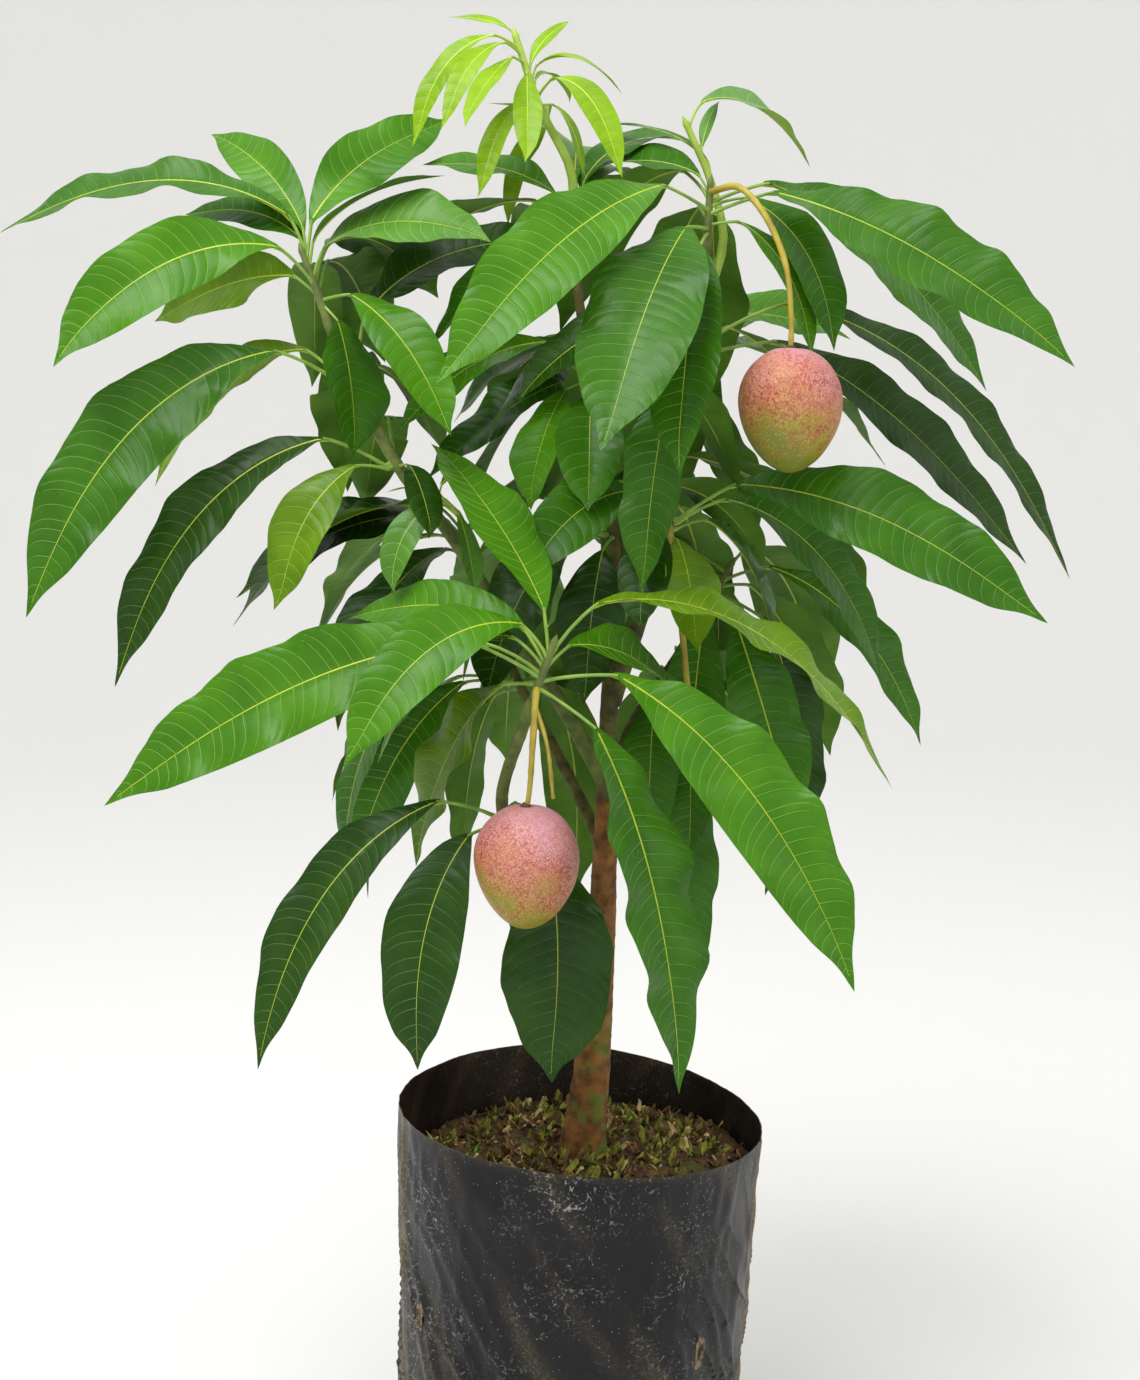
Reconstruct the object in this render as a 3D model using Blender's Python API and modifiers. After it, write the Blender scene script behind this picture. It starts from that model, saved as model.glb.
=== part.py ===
"""A young mango tree in a black film grow bag, with two fruits.

Metres, +Z up. The origin is the centre of the bag's flat underside, and the viewer stands at -Y.
A leaf is said in millimetres and degrees: its heading (0 is +X, 90 is away from the viewer),
the pitch of the straight line from its root to its tip, how far it droops along the way,
its length with the stalk, its width, and its roll, which turns its right edge down.
"""
import math
import random
from collections import namedtuple

import bmesh
import bpy
from mathutils import Matrix, Vector
from mathutils.bvhtree import BVHTree

Leaf = namedtuple("Leaf", "heading pitch droop length width roll")
Whorl = namedtuple("Whorl", "limb share leaves fill")
Fill = namedtuple("Fill", "count first last pitch length")

SEED = 7
GAP = 0.0003

# The bag: a soft film tube, filled up to a hand's width below its rim.
BAG_BASE_RADIUS = 0.126
BAG_RIM_RADIUS = 0.140
BAG_RIM_SHIFT = 0.012
BAG_WALL = 0.0015
BAG_SIDES = 32
BAG_RIM_HEIGHT = 0.3425
BAG_RIM_LEAN = 0.012
BAG_RIM_SAG = 0.0025
BAG_CORNER = 0.013
FOOT_INSET = 0.007
FOOT_TURN = (0.006, 0.0015)
FOOT_HEIGHT = 0.016
WALL_SHARES = (0.35, 0.7)
SOIL_TOP = 0.309
SOIL_DIP = 0.010
SOIL_FOOT_INSET = 0.0095
SOIL_SWELL = 0.0025

# Limbs: radius at the root, radius at the tip, and the route through its own points.
TRUNK_FLARE = 0.0025
TRUNK_FLARE_HEIGHT = 0.018
TRUNK_SIDES = 12
LIMB_SIDES = 8
LIMB_STEP = 0.03
LIMBS = {
    "trunk": (0.0165, 0.0032, [
        (0.013, 0.0, SOIL_TOP + GAP), (0.013, 0.0, SOIL_TOP + 0.012), (0.020, 0.0, 0.382),
        (0.028, 0.0, 0.511), (0.032, 0.0, 0.651), (0.036, 0.008, 0.772),
        (0.027, 0.010, 0.854), (0.014, 0.008, 0.927), (0.006, 0.0, 0.999), (0.005, 0.0, 1.040),
    ]),
    "bough_front": (0.0060, 0.0042, [
        (0.026, 0.0, 0.490), (-0.004, -0.040, 0.530), (-0.036, -0.078, 0.572),
        (-0.046, -0.092, 0.612), (-0.030, -0.110, 0.666), (-0.023, -0.117, 0.686),
    ]),
    "bough_left": (0.0062, 0.0042, [
        (0.031, 0.0, 0.600), (-0.006, -0.010, 0.668), (-0.046, -0.020, 0.730),
        (-0.085, -0.030, 0.794), (-0.122, -0.030, 0.843), (-0.157, -0.030, 0.909),
        (-0.172, -0.030, 0.950),
    ]),
    "bough_right": (0.0066, 0.0042, [
        (0.034, 0.004, 0.664), (0.055, -0.012, 0.730), (0.072, -0.020, 0.785),
        (0.076, -0.020, 0.833), (0.086, -0.020, 0.891), (0.097, -0.020, 0.941),
        (0.101, -0.020, 1.000),
    ]),
    "bough_right_back": (0.0052, 0.0038, [
        (0.030, 0.0, 0.590), (0.050, 0.030, 0.640), (0.085, 0.052, 0.690), (0.110, 0.066, 0.730),
    ]),
    "bough_left_back": (0.0054, 0.0038, [
        (0.029, 0.0, 0.550), (-0.004, 0.045, 0.610), (-0.046, 0.095, 0.680),
        (-0.070, 0.128, 0.745),
    ]),
    "bough_back": (0.0050, 0.0036, [
        (0.035, 0.006, 0.740), (0.044, 0.050, 0.790), (0.054, 0.100, 0.840),
        (0.060, 0.130, 0.885),
    ]),
}

# Whorls at a limb's tip grow on a short stem, and the others round a collar on the limb.
STEM_RADIUS = 0.0036
STEM_TAPER = 0.0012
COLLAR_WALL = 0.0034
COLLAR_SIDES = 8
ROOT_STEP = 0.0026
STEM_START = 0.010
STEM_SPARE = 0.004
STEM_STEP = 0.012
PETIOLE_SHARE = 0.15
PETIOLE_RADIUS = 0.0014
LEAF_THICKNESS = 0.011
LEAF_FOLD = 10.0
DROOP_POWER = 1.6
PETIOLE_LIFT = 22.0
STEEPEST_RISE = 80.0
ROLL_SHARE = 0.4
LEAF_STATIONS = [0.0, PETIOLE_SHARE, 0.28, 0.46, 0.65, 0.84, 1.0]
CLEAR_START = 0.003
CLEAR_START_LIMB = 0.014
CLEAR_SIDE = 0.0012
CLEAR_FACE = 0.0010
TURNS = [(0, 0, 0), (5, 0, 0), (-5, 0, 0), (0, 5, 0), (0, -5, 0), (9, 0, 12), (-9, 0, -12),
         (0, 10, 0), (0, -10, 0), (0, 0, 20), (0, 0, -20), (14, 4, 0), (-14, -4, 0),
         (10, -8, 20), (-10, 8, -20), (0, 16, 0), (0, -16, 0), (20, 0, 10), (-20, 0, -10),
         (24, -10, 0), (-24, 10, 0)]

# Each whorl: its limb, how far along the limb it sits, its leaves, and the leaves that
# fill it out: how many, from which heading to which, their pitch and their length.
WHORLS = {
    "left_crown": Whorl("bough_left", 1.0, [
        (173, 9, 80, 274, 44, -34), (208, -15, 78, 232, 56, -62), (138, 42, 48, 166, 36, -48),
        (40, 41, 50, 180, 46, 50), (347, 12, 70, 155, 56, 40), (152, -6, 40, 162, 48, -62),
        (8, 27, 65, 130, 34, 25), (330, -40, 55, 160, 42, 40), (326, -74, 30, 118, 58, 0),
        (152, 22, 70, 136, 30, -50),
    ], Fill(3, 55, 105, 0, 220)),
    "left_middle": Whorl("bough_left", 0.92, [
        (202, -34, 78, 322, 64, -66), (154, -24, 80, 220, 40, -60), (10, 38, 75, 190, 50, 40),
    ], Fill(3, 35, 105, -10, 220)),
    "left_lower": Whorl("bough_left", 0.78, [
        (195, -37, 82, 294, 46, -54), (205, -49, 70, 148, 42, -48), (300, -45, 50, 76, 28, 0),
    ], Fill(2, 40, 100, -20, 220)),
    "front_crown": Whorl("bough_front", 1.0, [
        (130, 48, 30, 200, 56, 0), (183, -16, 45, 338, 66, -70), (210, -20, 100, 204, 48, -50),
        (6, -19, 95, 322, 46, 22), (345, -42, 55, 332, 66, 60), (324, -67, 36, 313, 66, 15),
        (150, 8, 50, 184, 40, -45), (165, -46, 104, 282, 40, -45), (38, -18, 65, 170, 52, 35),
        (156, -28, 90, 205, 32, -45), (146, -52, 50, 198, 60, -58),
    ], Fill(1, 60, 80, 0, 170)),
    "front_lower": Whorl("bough_front", 0.57, [
        (200, -42, 80, 285, 46, -48), (236, -61, 76, 210, 56, -26), (345, -84, 25, 203, 80, 74),
    ], Fill(1, 75, 85, -45, 200)),
    "right_crown": Whorl("bough_right", 1.0, [
        (337, -22, 34, 300, 66, 45), (24, -28, 50, 303, 66, 60), (223, -26, 45, 300, 62, -46),
        (244, -41, 36, 246, 80, -16), (257, -54, 28, 218, 54, 12), (352, -47, 80, 160, 42, 50),
        (82, -54, 85, 183, 50, 32), (346, -50, 70, 138, 28, 35), (149, 15, 46, 108, 44, -22),
    ], Fill(2, 80, 140, -25, 240)),
    "right_middle": Whorl("bough_right", 0.80, [
        (4, -32, 72, 372, 42, 44), (17, -31, 38, 332, 54, 58), (240, -67, 30, 190, 48, 0),
        (180, -21, 60, 150, 44, -40),
    ], Fill(3, 50, 150, -30, 240)),
    "right_lower": Whorl("bough_right", 0.39, [
        (343, -14, 50, 298, 64, 56), (215, -20, 80, 140, 48, -52), (287, -52, 60, 108, 40, 0),
        (35, -50, 80, 188, 52, 40), (252, -50, 60, 100, 40, 0), (13, -36, 80, 240, 48, 52),
    ], Fill(2, 60, 130, -30, 230)),
    "right_back_crown": Whorl("bough_right_back", 1.0, [
        (355, -38, 70, 232, 42, 45), (309, -56, 10, 212, 56, 30), (256, -71, 50, 232, 54, 0),
        (2, -80, 60, 275, 54, 72),
    ], Fill(5, 30, 150, -30, 250)),
    "right_back_lower": Whorl("bough_right_back", 0.55, [
        (322, -76, 12, 264, 48, 32), (25, -42, 55, 215, 50, 40), (262, -60, 50, 150, 44, 0),
    ], Fill(4, 50, 140, -45, 240)),
    "left_back_crown": Whorl("bough_left_back", 1.0, [
        (190, -10, 70, 220, 58, -30), (300, 20, 70, 150, 52, 20),
    ], Fill(7, 20, 250, -25, 250)),
    "left_back_lower": Whorl("bough_left_back", 0.62, [
        (200, -50, 60, 230, 58, -40),
    ], Fill(5, 40, 220, -45, 250)),
    "back_crown": Whorl("bough_back", 1.0, [
        (350, 10, 70, 190, 56, 30),
    ], Fill(8, 0, 240, -20, 250)),
    "back_middle": Whorl("bough_back", 0.60, [], Fill(5, 20, 170, -40, 240)),
    "leader_low": Whorl("trunk", 0.70, [
        (200, -45, 60, 180, 56, -30), (260, -62, 40, 140, 50, 0),
    ], Fill(5, 20, 170, -35, 230)),
    "leader_middle": Whorl("trunk", 0.86, [
        (188, -21, 62, 163, 50, -30), (222, -59, 42, 115, 44, -10), (268, -56, 20, 118, 48, 0),
        (152, -34, 65, 112, 40, -30), (146, -20, 60, 140, 46, -40), (75, -56, 70, 135, 48, 20),
    ], Fill(4, 20, 120, -25, 220)),
    "leader_high": Whorl("trunk", 0.975, [
        (162, 21, 50, 130, 36, -30), (165, -36, 30, 138, 44, -40), (142, -39, 48, 105, 42, -20),
        (48, 33, 80, 138, 34, 30),
    ], Fill(5, 60, 160, 0, 190)),
    "young_flush": Whorl("trunk", 1.0, [
        (151, 20, 30, 66, 12, -20), (200, -41, 90, 128, 20, -40), (226, -36, 80, 113, 18, -30),
        (235, -30, 30, 114, 17, -20), (272, -50, 20, 95, 21, 0), (45, 70, 50, 64, 13, 20),
        (0, 2, 120, 88, 14, 15), (57, 0, 110, 66, 14, 20), (309, -32, 90, 136, 24, 20),
        (328, -54, 68, 72, 14, 0), (232, -42, 80, 110, 19, -20), (180, 15, 20, 45, 10, 0),
        (100, -10, 90, 105, 18, 0), (120, -40, 80, 110, 18, 0),
    ], None),
    "left_sprout": Whorl("bough_left", 0.70, [
        (212, -46, 90, 93, 26, -40), (314, -66, 29, 72, 20, 0), (190, 10, 60, 48, 12, 0),
        (60, 10, 60, 70, 16, 20),
    ], None),
    "right_sprout": Whorl("bough_right", 0.93, [
        (27, -10, 100, 135, 44, 25), (60, 72, 30, 50, 12, 0), (155, 30, 60, 108, 14, -10),
    ], None),
}

# Stems that aren't straight on from a limb's tip, or that stand off its side.
STEM_ROUTES = {
    "young_flush": [(0.001, 0.0, 1.062), (-0.020, 0.0, 1.102), (-0.036, 0.0, 1.148)],
    "left_sprout": [(-0.088, -0.038, 0.818), (-0.080, -0.040, 0.811)],
    "right_sprout": [(0.114, -0.006, 1.008), (0.105, 0.002, 1.048), (0.087, -0.006, 1.086)],
}

# A stalk whose fruit has dropped: the whorl it grows from, its heading there, and its route.
BARE_STALK = ("right_lower", 280, [
    (0.079, -0.046, 0.772), (0.083, -0.052, 0.735), (0.088, -0.056, 0.684),
])

# The two fruits hang on long stalks: the whorl each grows from, the fruit's middle, the route.
# The front one's stalk has a bare side branch.
FRUIT_RADIUS = 0.0368
FRUIT_HEIGHT = 0.088
FRUIT_FLATNESS = 0.93
FRUIT_SHOULDER = 0.13
STALK_RADIUS = 0.0018
STALK_STEP = 0.014
STALK_SIDES = 6
STALK_LEAD = 0.004
STALK_SUNK = 0.40
SIDE_STALK = [(-0.021, -0.134, 0.684), (-0.013, -0.139, 0.657), (-0.009, -0.137, 0.620)]
FRUITS = {
    "fruit_front": ("front_crown", (-0.028, -0.142, 0.573), [
        (-0.021, -0.132, 0.690), (-0.023, -0.140, 0.660), (-0.025, -0.142, 0.630),
    ]),
    "fruit_right": ("right_crown", (0.157, -0.072, 0.885), [
        (0.122, -0.042, 1.040), (0.140, -0.058, 1.018), (0.153, -0.068, 0.985),
        (0.157, -0.072, 0.950),
    ]),
}


def clear_scene():
    """Start from an empty scene."""
    for obj in list(bpy.data.objects):
        bpy.data.objects.remove(obj, do_unlink=True)


def collection(name):
    """A new collection of that name, linked to the scene."""
    made = bpy.data.collections.new(name)
    bpy.context.scene.collection.children.link(made)
    return made


def material(name, colour, roughness):
    """A plain Principled material."""
    made = bpy.data.materials.new(name)
    made.use_nodes = True
    shader = made.node_tree.nodes["Principled BSDF"]
    shader.inputs["Base Color"].default_value = (*colour, 1.0)
    shader.inputs["Roughness"].default_value = roughness
    return made


def add_object(name, mesh, group):
    """A new object in a collection."""
    made = bpy.data.objects.new(name, mesh)
    group.objects.link(made)
    return made


def tidy_mesh(mesh, merge=0.0):
    """Merge doubled corners and turn every face outwards."""
    work = bmesh.new()
    work.from_mesh(mesh)
    if merge:
        bmesh.ops.remove_doubles(work, verts=work.verts, dist=merge)
    bmesh.ops.recalc_face_normals(work, faces=work.faces)
    work.to_mesh(mesh)
    work.free()


def lofted(name, verts, faces, group):
    """An object from the corners and faces of a loft."""
    mesh = bpy.data.meshes.new(name)
    mesh.from_pydata([tuple(v) for v in verts], [], faces)
    tidy_mesh(mesh)
    return add_object(name, mesh, group)


def bake(obj):
    """Apply an object's modifiers."""
    graph = bpy.context.evaluated_depsgraph_get()
    mesh = bpy.data.meshes.new_from_object(obj.evaluated_get(graph))
    obj.modifiers.clear()
    obj.data = mesh


def loft(rings, closed_end=True):
    """Corners and faces of a loft through rings, each ring with as many corners."""
    count = len(rings[0])
    verts = [corner for ring in rings for corner in ring]
    faces = [tuple(range(count - 1, -1, -1))]
    for r in range(len(rings) - 1):
        for i in range(count):
            a = r * count + i
            b = r * count + (i + 1) % count
            faces.append((a, b, b + count, a + count))
    if closed_end:
        faces.append(tuple(range(len(verts) - count, len(verts))))
    return verts, faces


def smooth_route(points, step):
    """Points about a step apart on the smooth curve through a route's own points."""
    knots = [Vector(p) for p in points]
    ends = [2 * knots[0] - knots[1]] + knots + [2 * knots[-1] - knots[-2]]
    route = [knots[0]]
    for a, b, c, d in zip(ends, ends[1:], ends[2:], ends[3:]):
        count = max(1, round((c - b).length / step))
        for i in range(1, count + 1):
            t = i / count
            near = b * 2 + (c - a) * t + (2 * a - 5 * b + 4 * c - d) * t * t
            route.append((near + (3 * b - a - 3 * c + d) * t ** 3) / 2)
    return route


def tube(name, points, radii, group, sides=8):
    """A tapering round tube along the points, as one closed mesh."""
    curve = bpy.data.curves.new(name, "CURVE")
    curve.dimensions = "3D"
    curve.bevel_depth = 1.0
    curve.bevel_resolution = sides // 2 - 2
    curve.use_fill_caps = True
    spline = curve.splines.new("POLY")
    spline.points.add(len(points) - 1)
    for point, place, radius in zip(spline.points, points, radii):
        point.co = (*place, 1.0)
        point.radius = radius
    guide = add_object(name + "_guide", curve, group)
    graph = bpy.context.evaluated_depsgraph_get()
    mesh = bpy.data.meshes.new_from_object(guide.evaluated_get(graph))
    bpy.data.objects.remove(guide, do_unlink=True)
    tidy_mesh(mesh, 0.00001)
    return add_object(name, mesh, group)


def limb_line(name):
    """A limb's centre line as points, with its radius at each."""
    root, tip, route = LIMBS[name]
    points = smooth_route(route, LIMB_STEP)
    radii = []
    for i, point in enumerate(points):
        left = 1 - i / (len(points) - 1)
        radius = tip + (root - tip) * left ** 2
        if name == "trunk":
            radius += TRUNK_FLARE * math.exp((SOIL_TOP - point.z) / TRUNK_FLARE_HEIGHT)
        radii.append(radius)
    return points, radii


def along(name, share):
    """Centre, direction and radius of a limb at a share of its way."""
    points, radii = limb_line(name)
    place = share * (len(points) - 1)
    i = min(int(place), len(points) - 2)
    part = place - i
    centre = points[i].lerp(points[i + 1], part)
    radius = radii[i] + (radii[i + 1] - radii[i]) * part
    return centre, (points[i + 1] - points[i]).normalized(), radius


def blade_width(u):
    """Half-width of a mango leaf along its blade, as a share of the widest."""
    return 3.6 * u ** 0.9 * max(0.0, 1 - u) ** 0.95


def leaf_rise(leaf):
    """The slope at which a leaf sets out, so that its droop ends on its pitch."""
    return min(STEEPEST_RISE, leaf.pitch + leaf.droop / (1 + 1 / DROOP_POWER))


def leaf_frames(root, leaf, stations):
    """Centre, right-hand side and upward normal of a leaf at each station."""
    turn = math.radians(leaf.heading)
    flat = Vector((math.sin(turn), -math.cos(turn), 0))
    steps = 24
    places = [Vector(root)]
    for i in range(steps):
        t = (i + 0.5) / steps
        lift = 1.0 if t < PETIOLE_SHARE else PETIOLE_SHARE / (PETIOLE_SHARE - 1)
        slope = (leaf_rise(leaf) + PETIOLE_LIFT * lift
                 - leaf.droop * (1 - (1 - t) ** DROOP_POWER))
        slope = math.radians(min(STEEPEST_RISE, slope))
        run = Vector((math.cos(slope) * math.cos(turn), math.cos(slope) * math.sin(turn),
                      math.sin(slope)))
        places.append(places[-1] + run * (leaf.length / 1000 / steps))
    frames = []
    for t in stations:
        spot = t * steps
        i = min(int(spot), steps - 1)
        run = (places[i + 1] - places[i]).normalized()
        up = flat.cross(run)
        tilt = math.radians(leaf.roll) * min(1.0, t / ROLL_SHARE)
        side = flat * math.cos(tilt) - up * math.sin(tilt)
        frames.append((places[i].lerp(places[i + 1], spot - i), side, side.cross(run)))
    return frames


def leaf_rings(root, leaf, stations=LEAF_STATIONS, side_clear=0.0, face_clear=0.0):
    """Rings of four corners each along a leaf: left edge, top, right edge and underside."""
    half = leaf.width / 2000
    rings = []
    for t, (centre, side, up) in zip(stations, leaf_frames(root, leaf, stations)):
        u = (t - PETIOLE_SHARE) / (1 - PETIOLE_SHARE)
        width = thick = PETIOLE_RADIUS
        lift = 0.0
        if u > 0:
            width = max(half * blade_width(u), PETIOLE_RADIUS * (1 - u))
            thick = LEAF_THICKNESS * leaf.length / 2000 * (1 - 0.45 * u)
            lift = width * math.tan(math.radians(LEAF_FOLD))
        width += side_clear
        thick += face_clear
        rings.append([centre - side * width + up * lift, centre + up * thick,
                      centre + side * width + up * lift, centre - up * thick])
    return rings


def leaf_shape(root, leaf):
    """A leaf's closed mesh: a thin stalk that widens into a folded blade, down to a point."""
    rings = leaf_rings(root, leaf, LEAF_STATIONS[:-1])
    verts, faces = loft(rings, closed_end=False)
    last = len(verts) - 4
    verts.append(leaf_frames(root, leaf, [1.0])[0][0])
    for i in range(4):
        faces.append((last + i, last + (i + 1) % 4, last + 4))
    return verts, faces


def leaf_room(root, leaf, start):
    """The room that a leaf needs round it, from a share of its length on."""
    stations = [start] + [s for s in LEAF_STATIONS if s > start]
    verts, faces = loft(leaf_rings(root, leaf, stations, CLEAR_SIDE, CLEAR_FACE))
    return BVHTree.FromPolygons(verts, faces)


def object_tree(obj):
    """A search tree over an object's faces."""
    return BVHTree.FromPolygons([v.co for v in obj.data.vertices],
                                [tuple(p.vertices) for p in obj.data.polygons])


def filler_leaves(name, rule):
    """Leaves that fill a whorl out, spread over a range of headings by a seeded rule."""
    rng = random.Random(f"{SEED} {name}")
    leaves = []
    for i in range(rule.count if rule else 0):
        way = (i + rng.uniform(0.2, 0.8)) / rule.count
        length = rule.length * rng.uniform(0.75, 1.1)
        leaves.append(Leaf(rule.first + (rule.last - rule.first) * way,
                           rule.pitch + rng.uniform(-22, 22), rng.uniform(45, 95), length,
                           length * rng.uniform(0.22, 0.26), rng.uniform(-25, 25)))
    return leaves


def whorl_leaves(name):
    """All the leaves that a whorl would have, the posed ones first."""
    whorl = WHORLS[name]
    return [Leaf(*values) for values in whorl.leaves] + filler_leaves(name, whorl.fill)


def stem_line(name):
    """The stem of a whorl that has one: straight on from its limb, or along its own route."""
    whorl = WHORLS[name]
    centre, run, radius = along(whorl.limb, whorl.share)
    if name not in STEM_ROUTES:
        reach = STEM_START + ROOT_STEP * len(whorl_leaves(name)) + STEM_SPARE
        return [centre + run * GAP, centre + run * (GAP + reach)]
    route = [Vector(p) for p in STEM_ROUTES[name]]
    out = run
    start = centre + run * GAP
    if whorl.share < 1.0:
        out = route[0] - centre
        out = (out - run * out.dot(run)).normalized()
        start = centre + out * (radius + GAP)
    return smooth_route([start, start + out * STALK_LEAD] + route, STEM_STEP)


def round_limb(name, heading, slide):
    """A place inside the wall of a whorl's collar, on the side that a heading points to."""
    whorl = WHORLS[name]
    centre, run, _ = along(whorl.limb, whorl.share)
    turn = math.radians(heading)
    out = Vector((math.cos(turn), math.sin(turn), 0))
    out = (out - run * out.dot(run)).normalized()
    return centre + run * slide + out * (collar_reach(name) + COLLAR_WALL * 0.62)


def whorl_roots(name):
    """Each leaf of a whorl with the place where it starts, the steepest ones highest."""
    leaves = whorl_leaves(name)
    order = sorted(range(len(leaves)), key=lambda i: leaf_rise(leaves[i]))
    line = stem_line(name)
    centre, run, _ = along(WHORLS[name].limb, WHORLS[name].share)
    rooted = []
    for rank, i in enumerate(order):
        if name in STEM_ROUTES:
            spot = (len(line) - 1) * (1 - 0.55 * i / len(leaves)) - 0.2
            root = line[int(spot)].lerp(line[int(spot) + 1], spot % 1)
        elif WHORLS[name].share == 1.0:
            root = centre + run * (STEM_START + ROOT_STEP * rank)
        else:
            slide = ROOT_STEP * (rank - (len(leaves) - 1) / 2)
            root = round_limb(name, leaves[i].heading, slide)
        rooted.append((i, root, leaves[i]))
    return sorted(rooted, key=lambda entry: entry[0])


def collar_height(name):
    """How long a stretch of its limb a collar covers."""
    return ROOT_STEP * len(whorl_leaves(name)) + 2 * STEM_SPARE


def collar_reach(name):
    """The inner radius of a collar, which clears its limb all along."""
    whorl = WHORLS[name]
    centre, run, _ = along(whorl.limb, whorl.share)
    reach = 0.0
    for i in range(-20, 21):
        place, _, radius = along(whorl.limb, min(1.0, max(0.0, whorl.share + 0.005 * i)))
        offset = place - centre
        ahead = offset.dot(run)
        if abs(ahead) < collar_height(name) / 2 + STEM_SPARE:
            reach = max(reach, radius + (offset - run * ahead).length)
    return (reach + GAP) / math.cos(math.pi / COLLAR_SIDES)


def make_collar(name, group):
    """The swollen ring round a limb that a whorl's leaves grow from."""
    centre, run, _ = along(WHORLS[name].limb, WHORLS[name].share)
    inner = collar_reach(name)
    work = bmesh.new()
    bmesh.ops.create_cone(work, cap_ends=False, segments=COLLAR_SIDES, radius1=inner,
                          radius2=inner, depth=collar_height(name))
    turned = run.to_track_quat("Z", "Y").to_matrix().to_4x4()
    work.transform(Matrix.Translation(centre) @ turned)
    mesh = bpy.data.meshes.new(name)
    work.to_mesh(mesh)
    work.free()
    made = add_object(name, mesh, group)
    wall = made.modifiers.new("wall", "SOLIDIFY")
    wall.thickness = COLLAR_WALL
    wall.offset = 1.0
    bake(made)
    return made


def make_stem(name, group):
    """The short stem or the collar that carries a whorl."""
    if WHORLS[name].share == 1.0 or name in STEM_ROUTES:
        line = stem_line(name)
        radii = [STEM_RADIUS - STEM_TAPER * i / (len(line) - 1) for i in range(len(line))]
        return tube(name, line, radii, group)
    stem = make_collar(name, group)
    if name == BARE_STALK[0]:
        root = round_limb(name, BARE_STALK[1], 0.0)
        add_stalk(stem, [root] + [Vector(p) for p in BARE_STALK[2]])
    return stem


def add_stalk(body, points):
    """Fuse a thin round stalk onto a body."""
    parts = collection("stalk")
    line = smooth_route(points, STALK_STEP)
    stalk = tube("bare_stalk", line, [STALK_RADIUS] * len(line), parts, STALK_SIDES)
    unite(body, [stalk], parts)


def grow(obstacles):
    """Choose the leaves of every whorl: the posed ones first, each with room of its own."""
    rooted = {name: whorl_roots(name) for name in WHORLS}
    posed = {name: len(WHORLS[name].leaves) for name in WHORLS}
    queue = [(name, entry) for name in WHORLS for entry in rooted[name][:posed[name]]]
    queue += [(name, entry) for name in WHORLS for entry in rooted[name][posed[name]:]]
    chosen = {name: [] for name in WHORLS}
    rooms = []
    skipped = []
    for name, (number, root, leaf) in queue:
        limb = WHORLS[name].limb
        for heading, pitch, roll in TURNS:
            turned = leaf._replace(heading=leaf.heading + heading, pitch=leaf.pitch + pitch,
                                   roll=leaf.roll + roll)
            blade = leaf_room(root, turned, PETIOLE_SHARE)
            outer = leaf_room(root, turned, CLEAR_START_LIMB * 1000 / leaf.length)
            whole = leaf_room(root, turned, CLEAR_START * 1000 / leaf.length)
            clear = not any((outer if owner == limb else whole).overlap(tree)
                            for owner, tree in obstacles if owner != name)
            if clear and not any(blade.overlap(near) if owner == name else whole.overlap(far)
                                 for owner, near, far in rooms):
                chosen[name].append((number, root, turned))
                rooms.append((name, blade, whole))
                break
        else:
            skipped.append(f"{name} {number}")
    print("leaves", len(rooms), "left out for want of room", skipped)
    return chosen


def unite(body, shapes, parts):
    """Fuse a collection's shapes onto a body with one Boolean, then remove them."""
    join = body.modifiers.new("join", "BOOLEAN")
    join.operation = "UNION"
    join.operand_type = "COLLECTION"
    join.solver = "MANIFOLD"
    join.collection = parts
    bake(body)
    for shape in shapes:
        bpy.data.objects.remove(shape, do_unlink=True)
    bpy.data.collections.remove(parts)


def cut_clear(limb, neighbour, group):
    """Cut a bough's root to a neighbour's surface, a hair clear of it."""
    points, radii = limb_line(neighbour)
    cutter = tube("cutter", points, [r + GAP for r in radii], group, TRUNK_SIDES)
    cut = limb.modifiers.new("cut", "BOOLEAN")
    cut.operation = "DIFFERENCE"
    cut.object = cutter
    bake(limb)
    bpy.data.objects.remove(cutter, do_unlink=True)


def rim_height(turn):
    """The height of the bag's rim, which leans and sags."""
    return BAG_RIM_HEIGHT - BAG_RIM_LEAN * math.cos(turn) - BAG_RIM_SAG * math.cos(2 * turn)


def bag_ring(height, inset=0.0, rim=False, sides=BAG_SIDES):
    """A ring of the bag at a height, or at that share of the rim's own height."""
    ring = []
    for i in range(sides):
        turn = 2 * math.pi * i / sides
        z = height * rim_height(turn) if rim else height
        share = z / BAG_RIM_HEIGHT
        corner = BAG_CORNER * abs(math.cos(turn)) ** 14 * share
        radius = BAG_BASE_RADIUS + (BAG_RIM_RADIUS - BAG_BASE_RADIUS) * share ** 0.8
        radius = radius * (1 + corner) - inset
        shift = BAG_RIM_SHIFT * share ** 1.7
        ring.append(Vector((shift + radius * math.cos(turn), radius * math.sin(turn), z)))
    return ring


def make_bag(group, finish):
    """The grow bag: an open film tube with a flat floor, given its wall."""
    turn_height, turn_inset = FOOT_TURN
    rings = [bag_ring(0.0, FOOT_INSET), bag_ring(turn_height, turn_inset), bag_ring(FOOT_HEIGHT)]
    rings += [bag_ring(share, rim=True) for share in (*WALL_SHARES, 1.0)]
    verts, faces = loft(rings, closed_end=False)
    mesh = bpy.data.meshes.new("grow_bag")
    mesh.from_pydata([tuple(v) for v in verts], [], faces)
    bag = add_object("grow_bag", mesh, group)
    wall = bag.modifiers.new("wall", "SOLIDIFY")
    wall.thickness = BAG_WALL
    wall.offset = -1.0
    bake(bag)
    tidy_mesh(bag.data)
    bag.data.materials.append(finish)


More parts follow.
